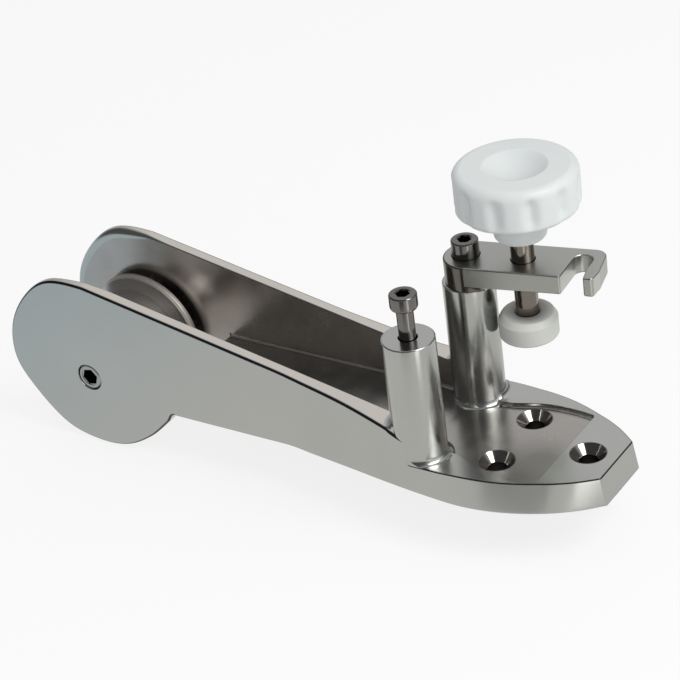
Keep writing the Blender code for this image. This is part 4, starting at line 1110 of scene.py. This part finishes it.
def addCamera():
    # Looks along the two angles from its place and rolls about its own line of sight
    az, el, roll = [radians(camera[k]) for k in ("azimuth", "elevation", "roll")]
    ahead = Vector((-sin(az) * cos(el), cos(az) * cos(el), -sin(el)))
    right = Vector((cos(az), sin(az), 0))
    up = right.cross(ahead)
    rolledRight = right * cos(roll) + up * sin(roll)
    rolledUp = -right * sin(roll) + up * cos(roll)
    data = bpy.data.cameras.new("studioCamera")
    data.sensor_width = camera["sensorMm"]
    data.lens = camera["sensorMm"] * camera["focalPixels"] / camera["framePixels"]
    data.clip_start, data.clip_end = camera["clip"]
    item = bpy.data.objects.new("studioCamera", data)
    bpy.context.scene.collection.objects.link(item)
    turn = Matrix((rolledRight, rolledUp, -ahead)).transposed().to_4x4()
    turn.translation = Vector(camera["place"]) * mm
    item.matrix_world = turn
    bpy.context.scene.camera = item


addCamera()

# Floor, backdrop and lights

# Cards on the floor, painted reflections that only metal sees: brightness, then middle, half width and
# softness in degrees, then distances in mm
studio = {"floorZ": -28.6, "floorSize": 6.0, "floorInMetal": 0.74, "floorPaper": 0.93, "floorLit": 0.82,
          "cardSoft": 20, "fill": 0.55,
          "cards": ((0.05, (43, 27, 5), (0, 112)), (1.2, (57, 6, 6), (200, 300)),
                    (1.9, (-33, 5, 5), (200, 420)), (0.2, (-75, 12, 8), (240, 420))),
          "dark": 0.1, "wall": 0.75, "wallFrom": (100, 58), "wallWide": (18, 52),
          "lowWall": 0.45, "lowWallFrom": (135, 10), "lowWallWide": (20, 42),
          "glow": 0.9, "glowFrom": (-4, 24), "glowWide": (14, 40),
          "tints": ("#E6F2F9", "#FFFEFA"), "tintFrom": (-330, -140),
          "keyPower": 8.0, "keySize": 0.6, "keyFrom": (-6, 48), "keyAway": 1.3, "keyAim": (-0.05, 0, 0.05)}


def towards(azimuth, elevation):
    # Unit direction of two angles in degrees
    a, e = radians(azimuth), radians(elevation)
    return Vector((cos(e) * cos(a), cos(e) * sin(a), sin(e)))


def addFloor():
    # One wide sheet under the lowest point of the casting
    s, z = studio["floorSize"], studio["floorZ"] * mm
    mesh = bpy.data.meshes.new("studioFloor")
    mesh.from_pydata([(-s, -s, z), (s, -s, z), (s, s, z), (-s, s, z)], [], [(0, 1, 2, 3)])
    material = bpy.data.materials.new("whitePaper")
    material.use_nodes = True
    tree = material.node_tree
    tree.nodes.clear()
    # Matte white paper, brighter for the camera than for the object that stands on it
    grey = studio["floorPaper"]
    paper = addNode(tree, "ShaderNodeBsdfDiffuse", {"Color": (grey, grey, grey, 1)})
    rays = addNode(tree, "ShaderNodeLightPath").outputs
    seen, glossy = rays["Is Camera Ray"], rays["Is Glossy Ray"]
    # Cards on the floor, seen only in metal: painted dark and bright reflections, each a wedge between two
    # angles and two distances
    place = addNode(tree, "ShaderNodeTexCoord").outputs["Object"]
    split = addNode(tree, "ShaderNodeSeparateXYZ", {}, {0: place}).outputs
    angle = worked(tree, "ARCTAN2", split["Y"], split["X"])
    reach = addNode(tree, "ShaderNodeVectorMath", {"operation": "LENGTH"}, {0: place}).outputs["Value"]

    def band(value, middle, half, soft):
        # 1 within half of the middle, falling smoothly to 0 over the soft width
        away = worked(tree, "ABSOLUTE", worked(tree, "SUBTRACT", value, middle))
        return rangeOf(tree, away, 1.0, 0.0, half, half + soft, "SMOOTHSTEP")

    metal = studio["floorInMetal"]
    for bright, (middle, half, soft), (near, far) in studio["cards"]:
        wedge = band(angle, radians(middle), radians(half), radians(soft))
        ring = band(reach, (near + far) / 2 * mm, (far - near) / 2 * mm, studio["cardSoft"] * mm)
        metal = mixValues(tree, worked(tree, "MULTIPLY", wedge, ring), metal, bright)
    power = worked(tree, "MAXIMUM", seen, worked(tree, "MULTIPLY", glossy, metal))
    # The glow seen in metal is tinted bluish beyond the nose and warm white elsewhere: a painted tint of the
    # reflections
    side = rangeOf(tree, split["X"], 0.0, 1.0, studio["tintFrom"][0] * mm, studio["tintFrom"][1] * mm)
    tint = addNode(tree, "ShaderNodeMix", {"data_type": "RGBA", 7: (1, 1, 1, 1)},
                   {0: seen, 6: mixColours(tree, side, *studio["tints"])})
    glow = addNode(tree, "ShaderNodeEmission", {}, {"Color": tint.outputs[2], "Strength": power})
    share = worked(tree, "MAXIMUM", rangeOf(tree, seen, 0.0, studio["floorLit"]), glossy)
    mix = addNode(tree, "ShaderNodeMixShader", {}, {0: share, 1: paper.outputs[0], 2: glow.outputs[0]})
    addNode(tree, "ShaderNodeOutputMaterial", {}, {"Surface": mix.outputs[0]})
    mesh.materials.append(material)
    item = bpy.data.objects.new("studioFloor", mesh)
    bpy.context.scene.collection.objects.link(item)


def addWorld():
    # White for the camera. Metal sees a dark room with a pale wall behind the object and a glow beside it;
    # each grows smoothly from its outer to its inner angle
    world = bpy.data.worlds.new("studioWorld")
    bpy.context.scene.world = world
    world.use_nodes = True
    tree = world.node_tree
    tree.nodes.clear()
    place = addNode(tree, "ShaderNodeTexCoord").outputs["Generated"]
    rays = addNode(tree, "ShaderNodeLightPath").outputs

    def lobe(kind):
        # 1 inside the inner angle round the middle, 0 outside the outer one
        inner, outer = [cos(radians(angle)) for angle in studio[kind + "Wide"]]
        dot = addNode(tree, "ShaderNodeVectorMath",
                      {"operation": "DOT_PRODUCT", 1: towards(*studio[kind + "From"])}, {0: place})
        return rangeOf(tree, dot.outputs["Value"], 0.0, 1.0, outer, inner, "SMOOTHSTEP")

    room = studio["dark"]
    for kind in ("lowWall", "wall", "glow"):
        room = mixValues(tree, lobe(kind), room, studio[kind])
    glossy = mixValues(tree, rays["Is Glossy Ray"], studio["fill"], room)
    power = mixValues(tree, rays["Is Camera Ray"], glossy, 1.0)
    back = addNode(tree, "ShaderNodeBackground", {"Color": (1, 1, 1, 1)}, {"Strength": power})
    addNode(tree, "ShaderNodeOutputWorld", {}, {"Surface": back.outputs[0]})


def addKey():
    # One soft lamp above and to the right of the camera
    data = bpy.data.lights.new("softKey", "AREA")
    data.shape = "DISK"
    data.size = studio["keySize"]
    data.energy = studio["keyPower"]
    item = bpy.data.objects.new("softKey", data)
    bpy.context.scene.collection.objects.link(item)
    middle = Vector(studio["keyAim"])
    item.location = middle + towards(*studio["keyFrom"]) * studio["keyAway"]
    item.rotation_euler = (middle - item.location).to_track_quat("-Z", "Y").to_euler()


addFloor()
addWorld()
addKey()
bpy.context.scene.view_settings.view_transform = "Standard"
print("studio made")
